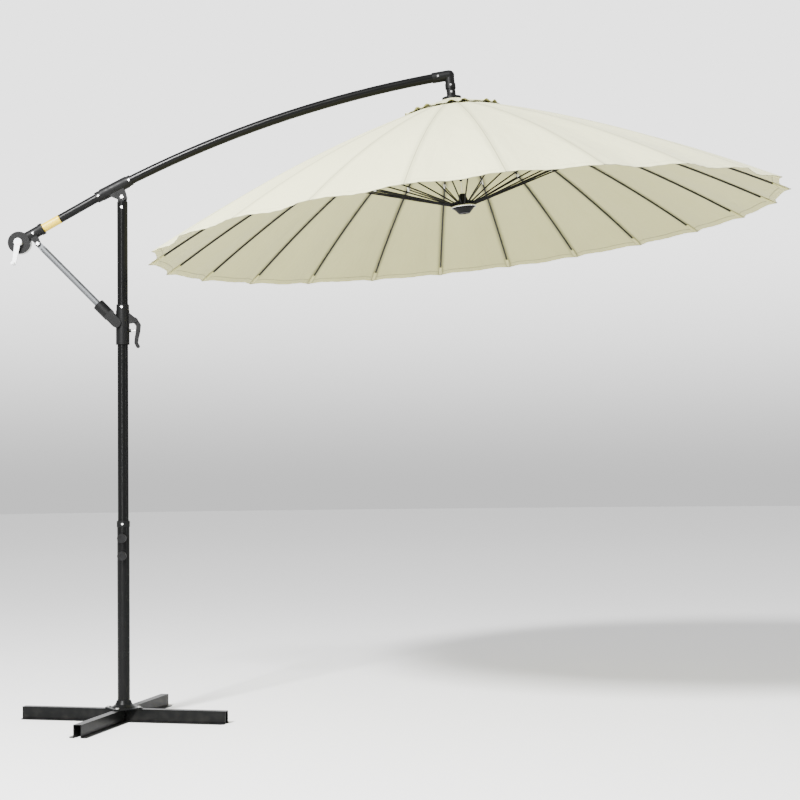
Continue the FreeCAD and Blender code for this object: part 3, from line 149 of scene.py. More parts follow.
def cover_skin(k, off_rib, reach, lift=0.0, slack=0.016):
    """Skin of the cover round rib k, before its welts.

    Gores are flat between ribs, so the height is that of the meridian arc at
    reach*cos(half gore - off)/cos(half gore), with the crease over the rib rounded, less a hollow
    slack*(reach/rim)^2*(1 - cos(pi*off/half gore))/2. Returns the turn, reach, height and slope angle.
    """
    side = soft_corner(off_rib * reach, 0.0035) / np.maximum(reach, 1e-6)
    corner = reach * np.cos(HALF_GORE - side) / math.cos(HALF_GORE)
    drop = np.sqrt(np.maximum(COVER_BEND ** 2 - (corner - BEND_REACH) ** 2, 0))
    across = (1 - np.cos(math.pi * off_rib / HALF_GORE)) / 2
    loose = np.where(off_rib > 0, gore_hollow(k), gore_hollow(k - 1 if k > 1 else RIBS))
    height = BEND_HEIGHT + lift + drop - slack * loose * (reach / RIM_RADIUS) ** 2 * across
    slope = np.arcsin((corner - BEND_REACH) / COVER_BEND)
    return rib_turn(k) + off_rib, reach, height, slope


def skin_point(k, off_rib, reach, out, lift=0.0, slack=0.016):
    """Point of the cover moved out by a distance along the meridian's normal (sin slope, cos slope)."""
    turn, reach, height, slope = cover_skin(k, off_rib, reach, lift, slack)
    return in_canopy(turn, reach + out * np.sin(slope), height + out * np.cos(slope))


def grid_faces(rows, columns, first=0, inward=False, closed=False):
    """Quads of a grid of points numbered row by row, turned over if inward, joined round if closed."""
    r, c = np.meshgrid(np.arange(rows - 1), np.arange(columns if closed else columns - 1), indexing="ij")
    n = (c + 1) % columns
    quads = np.stack([r * columns + c, r * columns + n, (r + 1) * columns + n, (r + 1) * columns + c], -1)
    quads = quads.reshape(-1, 4) + first
    return quads[:, ::-1] if inward else quads


def piece_of(name, points, faces, smooth=True):
    """A mesh object at the origin, from arrays of points and of faces."""
    mesh = bpy.data.meshes.new(name)
    corners = [list(map(int, f)) for f in faces]
    mesh.from_pydata(np.asarray(points, float).reshape(-1, 3).tolist(), [], corners)
    mesh.polygons.foreach_set("use_smooth", np.full(len(mesh.polygons), smooth))
    mesh.update()
    piece = bpy.data.objects.new(name, mesh)
    bpy.context.scene.collection.objects.link(piece)
    return piece


def capped_tube(name, rings, ends, inward=False):
    """A closed tube from rings of points, with a fan of triangles to a middle point at each end."""
    rows, sides = rings.shape[:2]
    n = rows * sides
    faces = [list(f) for f in grid_faces(rows, sides, closed=True, inward=inward)]
    first, last = np.arange(sides), np.arange(sides) + n - sides
    for middle, edge, flip in ((n, first, not inward), (n + 1, last, inward)):
        faces += [[middle, b, a] if flip else [middle, a, b] for a, b in zip(edge, np.roll(edge, -1))]
    return piece_of(name, np.concatenate([rings.reshape(-1, 3), ends]), faces)


def plain_way(piece):
    """Stitching distances for cloth with neither seam nor hem: the same three at each point."""
    way = piece.data.attributes.new("cloth_way", "FLOAT_VECTOR", "POINT")
    distances = np.tile([0.1, 0.1, 0.0], (len(piece.data.vertices), 1))
    way.data.foreach_set("vector", distances.astype(np.float32).ravel())


def two_skins(name, outer, inner, way, facing):
    """A thin closed sheet: outer grid, inner grid turned over, and a strip along each of the four edges.

    way is three distances per point for the cloth's stitching; facing is the outward normal per point.
    """
    rows, columns = outer.shape[:2]
    n = rows * columns
    faces = [grid_faces(rows, columns), grid_faces(rows, columns, n, inward=True)]
    index = np.arange(n).reshape(rows, columns)
    for edge, back in ((index[0], True), (index[-1], False), (index[:, 0], False), (index[:, -1], True)):
        strip = np.stack([edge[:-1], edge[:-1] + n, edge[1:] + n, edge[1:]], -1)
        faces.append(strip if back else strip[:, ::-1])
    sizes = [len(f) for f in faces]
    points = np.concatenate([outer.reshape(-1, 3), inner.reshape(-1, 3)])
    piece = piece_of(name, points, np.concatenate(faces))
    mesh = piece.data
    layer = np.zeros(sum(sizes), np.int32)
    layer[sizes[0]:sizes[0] + sizes[1]] = 1
    mesh.polygons.foreach_set("material_index", layer)
    stitch_way = mesh.attributes.new("cloth_way", "FLOAT_VECTOR", "POINT")
    stitch_way.data.foreach_set("vector", np.concatenate([way.reshape(-1, 3)] * 2).astype(np.float32).ravel())
    normals = np.concatenate([facing.reshape(-1, 3), -facing.reshape(-1, 3)])
    mesh.normals_split_custom_set_from_vertices(normals.tolist())
    return piece


def facing_of(surface, off_rib, reach, step=1e-4):
    """Outward normal of a surface of (off_rib, reach): cross product of its two central differences."""
    along_turn = surface(off_rib + step, reach) - surface(off_rib - step, reach)
    along_reach = surface(off_rib, reach + step) - surface(off_rib, reach - step)
    normal = np.cross(along_reach, along_turn)
    return normal / np.linalg.norm(normal, axis=-1, keepdims=True)


def turned_ring(name, profile, place, sides=48):
    """A profile of (radius, height) pairs, closed on itself, spun about place's Z axis."""
    profile = np.asarray(profile, float)
    turn = np.linspace(0, 2 * math.pi, sides, endpoint=False)
    points = np.stack([profile[:, None, 0] * np.cos(turn), profile[:, None, 0] * np.sin(turn),
                       profile[:, None, 1] + 0 * turn], -1)
    faces = grid_faces(len(profile), sides, closed=True)
    last = np.arange(sides) + (len(profile) - 1) * sides
    first = np.arange(sides)
    seam = np.stack([last, np.roll(last, -1), np.roll(first, -1), first], -1)
    piece = piece_of(name, points, np.concatenate([faces, seam]))
    piece.data.transform(place)
    return piece


def tube_along(name, path, radius, sides=12):
    """A round tube about a path of points: rings across the path's direction, with closed ends."""
    path = np.asarray(path, float)
    ahead = np.gradient(path, axis=0)
    ahead /= np.linalg.norm(ahead, axis=1, keepdims=True)
    side = np.cross(ahead, [0.0, 1.0, 0.0] if abs(ahead[0][1]) < 0.9 else [1.0, 0.0, 0.0])
    side /= np.linalg.norm(side, axis=1, keepdims=True)
    up = np.cross(ahead, side)
    turn = np.linspace(0, 2 * math.pi, sides, endpoint=False)
    thick = np.broadcast_to(np.asarray(radius, float), (len(path),))[:, None, None]
    across = np.cos(turn)[:, None] * side[:, None] + np.sin(turn)[:, None] * up[:, None]
    return capped_tube(name, path[:, None] + thick * across, np.stack([path[0], path[-1]]))


# ---------------------------------------------------------------- finishes


class Finish:
    """A node material with one shader, and short words for the patterns that feed it."""

    def __init__(self, name, colour, roughness, metal=0.0, specular=0.5):
        """A new material with an even colour, ready for patterns."""
        self.material = bpy.data.materials.new(name)
        self.material.use_nodes = True
        self.tree = self.material.node_tree
        self.shader = self.tree.nodes["Principled BSDF"]
        self.shader.inputs["Base Color"].default_value = (*colour, 1)
        self.shader.inputs["Roughness"].default_value = roughness
        self.shader.inputs["Metallic"].default_value = metal
        self.shader.inputs["Specular IOR Level"].default_value = specular
        self.place = self.tree.nodes.new("ShaderNodeTexCoord").outputs["Object"]

    def node(self, kind, settings=(), **inputs):
        """A new node; its inputs are values or sockets, by name or numbered i0, i1 and so on."""
        made = self.tree.nodes.new("ShaderNode" + kind)
        for key, value in dict(settings).items():
            setattr(made, key, value)
        for key, value in inputs.items():
            socket = made.inputs[int(key[1:])] if key[0] == "i" and key[1:].isdigit() else made.inputs[key]
            if isinstance(value, bpy.types.NodeSocket):
                self.tree.links.new(value, socket)
            else:
                socket.default_value = value
        return made

    def math(self, operation, a, b=0.0):
        """Result of one sum on two numbers or sockets."""
        return self.node("Math", {"operation": operation}, i0=a, i1=b).outputs[0]

    def grain(self, scale, detail=2.0, source=None, stretch=(1, 1, 1)):
        """Noise of that many grains per metre."""
        at = self.node("Mapping", i0=source or self.place, i3=stretch).outputs[0]
        return self.node("TexNoise", Vector=at, Scale=scale, Detail=detail).outputs[0]

    def steps(self, value, low, high, out_low=0.0, out_high=1.0):
        """Smooth step from out_low to out_high while the value goes from low to high."""
        made = self.node("MapRange", {"interpolation_type": "SMOOTHSTEP"})
        self.tree.links.new(value, made.inputs[0])
        for i, number in enumerate((low, high, out_low, out_high)):
            made.inputs[i + 1].default_value = number
        return made.outputs[0]

    def mix(self, amount, first, second):
        """Colour between two, each a triple or a socket."""
        made = self.node("Mix", {"data_type": "RGBA"})
        for socket, value in ((made.inputs[0], amount), (made.inputs[6], first), (made.inputs[7], second)):
            if isinstance(value, bpy.types.NodeSocket):
                self.tree.links.new(value, socket)
            elif isinstance(value, tuple):
                socket.default_value = (*value, 1)
            else:
                socket.default_value = value
        return made.outputs[2]

    def feed(self, socket, value):
        """Link a pattern to one of the shader's inputs."""
        self.tree.links.new(value, self.shader.inputs[socket])

    def bump(self, height, depth, below=None):
        """Normal of a relief of that depth in metres, on top of another if given."""
        made = self.node("Bump", Height=height, Strength=1.0, Distance=depth)
        if below is not None:
            self.tree.links.new(below, made.inputs["Normal"])
        return made.outputs[0]


def stove_enamel(name, colour, roughness, dust=0.0):
    """Powder coat: orange-peel bump, patchy gloss, rubbed lighter spots and, low down, grey dust."""
    f = Finish(name, colour, roughness, specular=0.10)
    peel = f.grain(420, 3)
    patch = f.grain(9, 4)
    f.feed("Roughness", f.steps(f.math("ADD", f.math("MULTIPLY", patch, 0.7), f.math("MULTIPLY", peel, 0.3)),
                                0.3, 0.7, roughness - 0.04, roughness + 0.05))
    light = tuple(min(1, c * 2.0 + 0.003) for c in colour)
    rubbed = f.steps(f.grain(55, 6), 0.60, 0.78)
    tone = f.mix(f.math("MULTIPLY", rubbed, 0.3), colour, light)
    if dust:
        height = f.node("SeparateXYZ", i0=f.place).outputs[2]
        low = f.steps(height, 0.0, 0.06, 1.0, 0.15)
        film = f.math("MULTIPLY", f.math("MULTIPLY", low, f.steps(f.grain(30, 5), 0.35, 0.75)), dust)
        tone = f.mix(film, tone, (0.16, 0.15, 0.135))
    f.feed("Base Color", tone)
    f.feed("Normal", f.bump(peel, 0.000025))
    return f.material


def moulded(name, colour, roughness=0.46, grit=0.00005):
    """Moulded plastic: spark-eroded grit, a little mottling and slightly polished touch marks."""
    f = Finish(name, colour, roughness, specular=0.12)
    fine = f.grain(1500, 2)
    patch = f.grain(35, 4)
    f.feed("Roughness", f.steps(patch, 0.35, 0.7, roughness + 0.06, roughness - 0.1))
    light = tuple(min(1, c * 1.35 + 0.004) for c in colour)
    f.feed("Base Color", f.mix(f.steps(patch, 0.45, 0.8, 0, 0.5), colour, light))
    f.feed("Normal", f.bump(fine, grit))
    return f.material


def bright_metal(name, colour, roughness, brushed=(1, 1, 1)):
    """Plated or drawn metal: fine marks stretched one way and cloudy gloss."""
    f = Finish(name, colour, roughness, metal=1.0)
    marks = f.grain(900, 3, stretch=brushed)
    cloud = f.grain(60, 3)
    f.feed("Roughness", f.steps(cloud, 0.3, 0.7, roughness - 0.06, roughness + 0.1))
    dull = tuple(c * 0.72 for c in colour)
    f.feed("Base Color", f.mix(f.steps(marks, 0.4, 0.75, 0, 0.6), colour, dull))
    f.feed("Normal", f.bump(marks, 0.000008))
    return f.material


def cover_cloth(name, colour, shade, hem_shade_depth, crease_shade_depth, rib_shadow_depth):
    """Woven polyester: plain weave, a stitched seam over each rib, hem, clouding and soft creases, with
    painted shade in dark strips at the seam crease and at the welts' and hem's edges, and a painted shadow
    band beside each rib.

    cloth_way holds the distances across from the rib, in from the rim and down the gore.
    """
    f = Finish(name, colour, 0.82, specular=0.22)
    f.shader.inputs["Sheen Weight"].default_value = 0.15
    f.shader.inputs["Sheen Roughness"].default_value = 0.5
    way = f.node("Attribute", {"attribute_name": "cloth_way"}).outputs["Vector"]
    across, from_rim, down = f.node("SeparateXYZ", i0=way).outputs
    weft = f.math("SINE", f.math("MULTIPLY", across, 2 * math.pi / THREAD))
    warp = f.math("SINE", f.math("MULTIPLY", down, 2 * math.pi / THREAD))
    weave = f.math("MULTIPLY", weft, warp)
    off_seam = f.math("ABSOLUTE", across)
    off_rows = f.math("ABSOLUTE", f.math("SUBTRACT", off_seam, SEAM_STITCH))
    dashes = f.steps(f.math("SINE", f.math("MULTIPLY", down, 2 * math.pi / STITCH)), -0.7, -0.2)
    rows = f.math("MULTIPLY", f.steps(off_rows, 0.0003, 0.0006, 1, 0), dashes)
    off_hem_row = f.math("ABSOLUTE", f.math("SUBTRACT", from_rim, HEM_STITCH))
    hem_dashes = f.steps(f.math("SINE", f.math("MULTIPLY", across, 2 * math.pi / STITCH)), -0.7, -0.2)
    hem_rows = f.math("MULTIPLY", f.steps(off_hem_row, 0.0003, 0.0006, 1, 0), hem_dashes)
    stitches = f.math("MAXIMUM", rows, hem_rows)
    # Painted shade: dark strips at the welt's edge, at the hem's edge and on the crease over the rib, and a
    # painted shadow band beside the rib.
    welt_edge_shade = f.steps(f.math("ABSOLUTE", f.math("SUBTRACT", off_seam, SEAM)), 0.0004, 0.0016, 1, 0)
    hem_edge_shade = f.steps(f.math("ABSOLUTE", f.math("SUBTRACT", from_rim, HEM)), 0.0006, 0.0026, 1, 0)
    crease_shade = f.steps(off_seam, 0.0010, 0.0034, crease_shade_depth, 0)
    rib_shadow_band = f.steps(off_seam, 0.005, 0.022, rib_shadow_depth, 0)
    hem_and_crease_shade = f.math("MAXIMUM", f.math("MULTIPLY", hem_edge_shade, hem_shade_depth), f.math("MAXIMUM", crease_shade, rib_shadow_band))
    painted_shade_strips = f.math("MAXIMUM", f.math("MULTIPLY", welt_edge_shade, 0.35), hem_and_crease_shade)
    cloud = f.steps(f.grain(2.2, 4), 0.3, 0.75, 0, 0.35)
    fine = f.steps(f.grain(240, 2), 0.35, 0.65, 0, 0.18)
    tone = f.mix(f.math("ADD", cloud, fine), colour, shade)
    # Painted shade colour for those strips and the band beside the rib.
    painted_shade_colour = tuple(c * 0.42 for c in shade)
    tone = f.mix(painted_shade_strips, tone, painted_shade_colour)
    tone = f.mix(f.math("MULTIPLY", stitches, 0.5), tone, tuple(min(1, c * 1.12) for c in colour))
    f.feed("Base Color", tone)
    creases = f.bump(f.grain(7, 3, source=way, stretch=(3, 1, 0.6)), 0.0045)
    f.feed("Normal", f.bump(f.math("ADD", weave, f.math("MULTIPLY", stitches, 3.0)), 0.00007, creases))
    return f.material


def crank_plastic(name, centre):
    """White moulded plastic with a plain blue arc and a plain red one printed round the boss."""
    f = Finish(name, (0.80, 0.81, 0.82), 0.34)
    x, y, z = f.node("SeparateXYZ", i0=f.place).outputs
    dx, dz = f.math("SUBTRACT", x, centre[0]), f.math("SUBTRACT", z, centre[2])
    far = f.math("SQRT", f.math("ADD", f.math("MULTIPLY", dx, dx), f.math("MULTIPLY", dz, dz)))
    ring = f.steps(f.math("ABSOLUTE", f.math("SUBTRACT", far, 0.0105)), 0.0007, 0.0011, 1, 0)
    front = f.steps(y, centre[1] + 0.0006, centre[1] + 0.0012, 1, 0)
    mark = f.math("MULTIPLY", f.math("MULTIPLY", ring, front), 0.8)
    angle = f.math("ARCTAN2", dz, dx)
    off_blue = f.math("ABSOLUTE", f.math("SUBTRACT", angle, 1.7))
    blue = f.math("MULTIPLY", mark, f.steps(off_blue, 0.85, 0.95, 1, 0))
    off_red = f.math("ABSOLUTE", f.math("ADD", angle, 1.3))
    red = f.math("MULTIPLY", mark, f.steps(off_red, 0.85, 0.95, 1, 0))
    tone = f.mix(f.steps(f.grain(60, 4), 0.45, 0.8, 0, 0.5), (0.80, 0.81, 0.82), (0.68, 0.69, 0.70))
    tone = f.mix(blue, tone, (0.10, 0.25, 0.60))
    tone = f.mix(red, tone, (0.72, 0.12, 0.16))
    f.feed("Base Color", tone)
    f.feed("Normal", f.bump(f.grain(1300, 2), 0.00003))
    return f.material


def rib_rod_finish(name):
    """Dark glass-fibre rod: long streaks across a nearly black ground, with a worn, slightly glossy skin."""
    f = Finish(name, (0.014, 0.014, 0.013), 0.42, specular=0.2)
    streak = f.grain(160, 4)
    worn = f.steps(streak, 0.4, 0.75, 0, 0.7)
    f.feed("Base Color", f.mix(worn, (0.012, 0.012, 0.011), (0.034, 0.034, 0.031)))
    f.feed("Roughness", f.steps(f.grain(40, 3), 0.3, 0.7, 0.34, 0.52))
    f.feed("Normal", f.bump(streak, 0.00004))
    return f.material


def braided(name, colour):
    """Braided cord: two sets of slanting strands, from the sines of z + y and z - y."""
    f = Finish(name, colour, 0.7, specular=0.3)
    y, z = f.node("SeparateXYZ", i0=f.place).outputs[1:]
    one = f.math("SINE", f.math("MULTIPLY", f.math("ADD", z, y), 2200.0))
    two = f.math("SINE", f.math("MULTIPLY", f.math("SUBTRACT", z, y), 2200.0))
    strands = f.math("MULTIPLY", one, two)
    shaded = tuple(c * 0.55 for c in colour)
    f.feed("Base Color", f.mix(f.steps(strands, -0.6, 0.4, 0.5, 0), colour, shaded))
    f.feed("Normal", f.bump(strands, 0.0002))
    return f.material


def printed_film(name, colour):
    """Plain self-adhesive film: even colour with scuffed, slightly lifted patches."""
    f = Finish(name, colour, 0.38)
    scuff = f.steps(f.grain(110, 5), 0.52, 0.75, 0, 0.55)
    f.feed("Base Color", f.mix(scuff, colour, tuple(c * 0.72 + 0.05 for c in colour)))
    f.feed("Roughness", f.steps(scuff, 0.0, 0.5, 0.33, 0.5))
    f.feed("Normal", f.bump(f.grain(70, 4), 0.0001))
    return f.material


black_coat = stove_enamel("black_stove_enamel", (0.0028, 0.0029, 0.0029), 0.25)
base_coat = stove_enamel("base_stove_enamel", (0.0030, 0.0033, 0.0033), 0.36, dust=0.05)
black_plastic = moulded("black_moulded_nylon", (0.0030, 0.0031, 0.0032))
runner_plastic = moulded("runner_nylon", (0.0028, 0.0028, 0.0030), 0.42)
cover_plate = moulded("pale_housing_cover", (0.55, 0.55, 0.54), 0.40)
clip_nylon = moulded("white_clip_nylon", (0.82, 0.82, 0.79), 0.40)
rivet_steel = bright_metal("zinc_rivet_steel", (0.78, 0.78, 0.77), 0.30)
bolt_steel = bright_metal("zinc_bolt_steel", (0.62, 0.62, 0.60), 0.38)
strut_metal = bright_metal("satin_strut_alloy", (0.11, 0.115, 0.12), 0.50, brushed=(0.2, 1, 0.2))
trim_metal = bright_metal("runner_trim_plate", (0.82, 0.82, 0.83), 0.16)
link_steel = stove_enamel("stretcher_enamel", (0.0025, 0.0025, 0.0025), 0.45)
rib_rod = rib_rod_finish("rib_glass_fibre")
# Painted shade amounts: how dark the hem's edge, the seam crease and the band beside each rib are drawn on
# each side of the cloth.
outer_cloth = cover_cloth("cover_cloth_outside", (0.64, 0.635, 0.385), (0.565, 0.56, 0.33),
                          hem_shade_depth=0.5, crease_shade_depth=0.85, rib_shadow_depth=0.30)
# The inside is a darker copy of the same cloth: painted shade of the underside, with its painted shade strips
# and rib shadow bands stronger than outside.
shaded_inner_cloth = cover_cloth("cover_cloth_inside_shaded", (0.47, 0.455, 0.215), (0.40, 0.385, 0.175),
                          hem_shade_depth=0.75, crease_shade_depth=0.6, rib_shadow_depth=0.65)
cord_braid = braided("white_lift_cord", (0.80, 0.79, 0.74))
yellow_film = printed_film("yellow_label_film", (0.60, 0.42, 0.0))

crank_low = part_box("crank_handle")[0]
drum_low, drum_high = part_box("cord_drum")
crank_centre = ((drum_low.x + drum_high.x) / 2, crank_low.y + 0.0285, (drum_low.z + drum_high.z) / 2)
crank_white = crank_plastic("white_crank_plastic", crank_centre)

by_name = {
    "foot_bolts": bolt_steel, "pole_pins": rivet_steel, "arm_pins": rivet_steel, "lock_plunger": bolt_steel,
    "long_leg_bar": base_coat, "cross_leg_bar": base_coat, "foot_plate": base_coat,
    "lower_pole": black_coat, "upper_pole": black_coat,
    "arm_rear_tube": black_coat, "arm_front_tube": black_coat,
    "canopy_post": black_coat, "strut_tube": strut_metal, "crank_housing_back": cover_plate,
    "crank_handle": crank_white, "crank_grip": crank_white,
    "runner": runner_plastic, "cord_drum": black_plastic,
    "stretchers": link_steel, "canopy": outer_cloth, "vent_cap": outer_cloth, "lift_cord": cord_braid,
}
for name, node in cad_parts.items():
    finish = rib_rod if name.startswith("rib_") and name != "rib_hub" else by_name.get(name, black_plastic)
    node.data.materials.clear()
    node.data.materials.append(finish)


def colour_clips(name):
    """White nylon on a rib's clip: the faces near it that stand off the rod's own surface."""
    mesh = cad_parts[name].data
    centre = np.zeros(len(mesh.polygons) * 3, np.float32)
    mesh.polygons.foreach_get("center", centre)
    centre = centre.reshape(-1, 3) - RIM_CENTRE
    height = centre @ CANOPY_AXIS
    reach = np.hypot(centre @ ACROSS_RIM, centre @ SIDEWAYS)
    from_bend = np.hypot(reach - BEND_REACH, height - BEND_HEIGHT)
    clip = (np.abs(reach - CLIP_REACH) < 0.0125) & (from_bend < ROD_TOP + 0.004)
    side = centre @ rib_ways(int(name[-2:]))[1]
    clip &= np.hypot(side, from_bend - (ROD_TOP - RIB_RADIUS)) > RIB_RADIUS * 1.04
    mesh.materials.append(clip_nylon)
    mesh.polygons.foreach_set("material_index", clip.astype(np.int32))


for k in range(1, RIBS + 1):
    colour_clips(f"rib_{k:02d}")


# ---------------------------------------------------------------- cover, one gore to each rib


def gore_columns(half=20, power=1.45):
    """Turns off the rib, from half a gore on one side to half on the other, closest together at the seam."""
    t = np.linspace(-1, 1, 2 * half + 1)
    return np.sign(t) * np.abs(t) ** power * HALF_GORE


def sheet_area(points):
    """Area of a grid of points: half the cross products of each quad's diagonals, added up."""
    one, two = points[1:, 1:] - points[:-1, :-1], points[1:, :-1] - points[:-1, 1:]
    return float(np.linalg.norm(np.cross(one, two), axis=-1).sum() / 2)


def cover_gore(k):
    """Gore of the cover round rib k, from the vent hole to the scalloped rim.

    Rows lie close together inside the rim, where the hem's step is, and then evenly to the hole. The outer
    skin is raised on the seam and the hem, and the lining hangs lower on the hem.
    """
    off = gore_columns()[None, :]
    edge = rim_reach(off, RIM_RADIUS, RIM_SCALLOP)
    hem = np.array([0, 0.002, 0.012, 0.019, 0.022, 0.024, 0.026, 0.032])[:, None]
    share = np.linspace(0, 1, 44)[1:, None]
    reach = np.concatenate([edge - hem, (edge - hem[-1]) * (1 - share) + VENT_HOLE * share])
    off = np.broadcast_to(off, reach.shape)
    from_rim = edge - reach

    def pucker_and_hem(o, r):
        """Fine puckers that die out away from the rim, and 1 on the hem."""
        inside = rim_reach(o, RIM_RADIUS, RIM_SCALLOP) - r
        pucker = PUCKER * np.cos(6 * math.pi * o / HALF_GORE) * np.exp(-inside / PUCKER_FADE)
        return pucker, welt(inside, HEM, WELT_EDGE)

    def skin(o, r):
        """Outside of the cloth."""
        pucker, on_hem = pucker_and_hem(o, r)
        return skin_point(k, o, r, pucker + WELT_LIFT * on_hem + WELT_LIFT * welt(o * r, SEAM, WELT_EDGE))

    def lining(o, r):
        """Inside of the cloth."""
        pucker, on_hem = pucker_and_hem(o, r)
        return skin_point(k, o, r, pucker - CLOTH - LINING_DROP * on_hem)

    way = np.stack([off * reach, from_rim, RIM_RADIUS - reach], -1)
    outer, inner = skin(off, reach), lining(off, reach)
    piece = two_skins(f"cover_gore_{k:02d}", outer, inner, way, facing_of(skin, off, reach))
    return piece, sheet_area(outer)


def vent_wave(gore):
    """How far the vent cap's edge lifts in the middle of a gore, from 3 to 14 mm, the same on each run."""
    return 0.0085 + 0.0055 * math.sin(gore * 2.1 + 0.4)


def vent_gore(k):
    """Gore of the vent cap round rib k, off the cover, with its scalloped edge lifted in mid-gore."""
    off = gore_columns(8, 1.2)[None, :]
    edge = rim_reach(off, VENT_RIM, VENT_SCALLOP)
    hem = np.array([0, 0.0015, 0.006, 0.0085, 0.0105])[:, None]
    share = np.linspace(0, 1, 14)[1:, None]
    reach = np.concatenate([edge - hem, (edge - hem[-1]) * (1 - share) + VENT_INNER * share])
    off = np.broadcast_to(off, reach.shape)
    from_rim = edge - reach

    def rise_and_hem(o, r):
        """How far the edge lifts, and 1 on the hem."""
        inside = rim_reach(o, VENT_RIM, VENT_SCALLOP) - r
        across = (1 - np.cos(math.pi * o / HALF_GORE)) / 2
        wave = np.where(o > 0, vent_wave(k), vent_wave(k - 1 if k > 1 else RIBS))
        return wave * across * np.exp(-inside / 0.03), welt(inside, VENT_HEM, VENT_HEM_EDGE)

    def skin(o, r):
        """Outside of the cloth."""
        rise, on_hem = rise_and_hem(o, r)
        out = rise + VENT_LIFT * on_hem + VENT_LIFT * welt(o * r, VENT_SEAM, WELT_EDGE)
        return skin_point(k, o, r, out, VENT_GAP, 0.0)

    def lining(o, r):
        """Inside of the cloth."""
        rise, on_hem = rise_and_hem(o, r)
        return skin_point(k, o, r, rise - CLOTH - VENT_LIFT * on_hem, VENT_GAP, 0.0)

    way = np.stack([off * reach, from_rim * 2.3, RIM_RADIUS - reach], -1)
    outer, inner = skin(off, reach), lining(off, reach)
    piece = two_skins(f"vent_gore_{k:02d}", outer, inner, way, facing_of(skin, off, reach))
    return piece, sheet_area(outer)


def vent_crown():
    """Middle of the vent cap, a shallow cone of cloth round the post, lapped over the gores."""
    turn = np.linspace(0, 2 * math.pi, 97)[:-1]
    reach = np.linspace(CROWN_INNER, CROWN_RIM, 9)
    height = BEND_HEIGHT + VENT_GAP + np.sqrt(COVER_BEND ** 2 - (reach - BEND_REACH) ** 2) + 0.0009
    ripple = 0.0004 * np.cos(RIBS * (turn[:, None] - FIRST_RIB)) * (reach / CROWN_RIM) ** 2
    top = in_canopy(turn[:, None], reach, height + ripple)
    under = in_canopy(turn[:, None], reach, height + ripple - CLOTH)
    points = np.concatenate([top, under[:, ::-1]], 1)
    return piece_of("vent_crown", points, grid_faces_round(*points.shape[:2]))


def grid_faces_round(rows, columns):
    """Quads of a grid joined round both ways."""
    r, c = np.meshgrid(np.arange(rows), np.arange(columns), indexing="ij")
    r1, c1 = (r + 1) % rows, (c + 1) % columns
    quads = [r * columns + c, r1 * columns + c, r1 * columns + c1, r * columns + c1]
    return np.stack(quads, -1).reshape(-1, 4)


def tip_pocket(k):
    """Cloth pocket that holds a rib's end: a half-round sleeve under the cover, closed at the tip."""
    reach = np.array([1.188, 1.190, 1.200, 1.212, 1.224, 1.232, 1.238, 1.2415])
    full = np.array([0.82, 0.90, 0.93, 0.97, 1.0, 0.85, 0.55, 0.10])
    wide = np.array([0.95, 1.0, 1.0, 1.0, 1.0, 0.85, 0.6, 0.3])
    turn = np.linspace(0, 2 * math.pi, 24, endpoint=False)
    across = 0.0075 * np.cos(turn)[None, :] * wide[:, None]
    below = -(0.0012 + 0.0092 * np.maximum(np.sin(turn), 0)[None, :] ** 0.8 * full[:, None])
    rings = skin_point(k, across / reach[:, None], reach[:, None], below)
    return capped_tube(f"tip_pocket_{k:02d}", rings, np.stack([rings[0].mean(0), rings[-1].mean(0)]))


def stretcher(k):
    """Stretcher under rib k: a round bar from the runner to the clip, with both ends pressed flat."""
    start = in_canopy(rib_turn(k), RUNNER_HINGE[0], RUNNER_HINGE[1])
    bar = ROD_TOP - RIB_RADIUS
    turn_at = math.asin((CLIP_REACH - BEND_REACH) / bar)
    clip_height = BEND_HEIGHT + bar * math.cos(turn_at)
    end = in_canopy(rib_turn(k), CLIP_REACH - CLIP_DROP * math.sin(turn_at),
                    clip_height - CLIP_DROP * math.cos(turn_at))
    length = float(np.linalg.norm(end - start))
    ahead = (end - start) / length
    side = rib_ways(k)[1]
    up = np.cross(ahead, side)
    near = np.array([-0.0035, -0.003, 0.0, 0.006, 0.011, 0.015, 0.018, 0.024])
    along = np.concatenate([near, np.linspace(0.04, length - 0.04, 9), length - near[::-1]])
    from_end = np.minimum(along, length - along)
    flat = np.clip((0.018 - from_end) / 0.007, 0, 1)
    flat = flat * flat * (3 - 2 * flat)
    tip = np.where(from_end < -0.0032, 0.35, np.where(from_end < -0.002, 0.85, 1.0))
    wide = (STRETCHER_RADIUS + 0.0006 * flat) * tip
    thick = (STRETCHER_RADIUS - 0.0016 * flat) * tip
    turn = np.linspace(0, 2 * math.pi, 12, endpoint=False)
    power = 1 - 0.35 * flat[:, None]
    c, s = np.cos(turn)[None, :], np.sin(turn)[None, :]
    c, s = np.sign(c) * np.abs(c) ** power, np.sign(s) * np.abs(s) ** power
    rings = (start + along[:, None] * ahead)[:, None] + (thick[:, None] * c)[..., None] * side \
        + (wide[:, None] * s)[..., None] * up
    ends = np.stack([rings[0].mean(0), rings[-1].mean(0)])
    return capped_tube(f"stretcher_{k:02d}", rings, ends, inward=True)


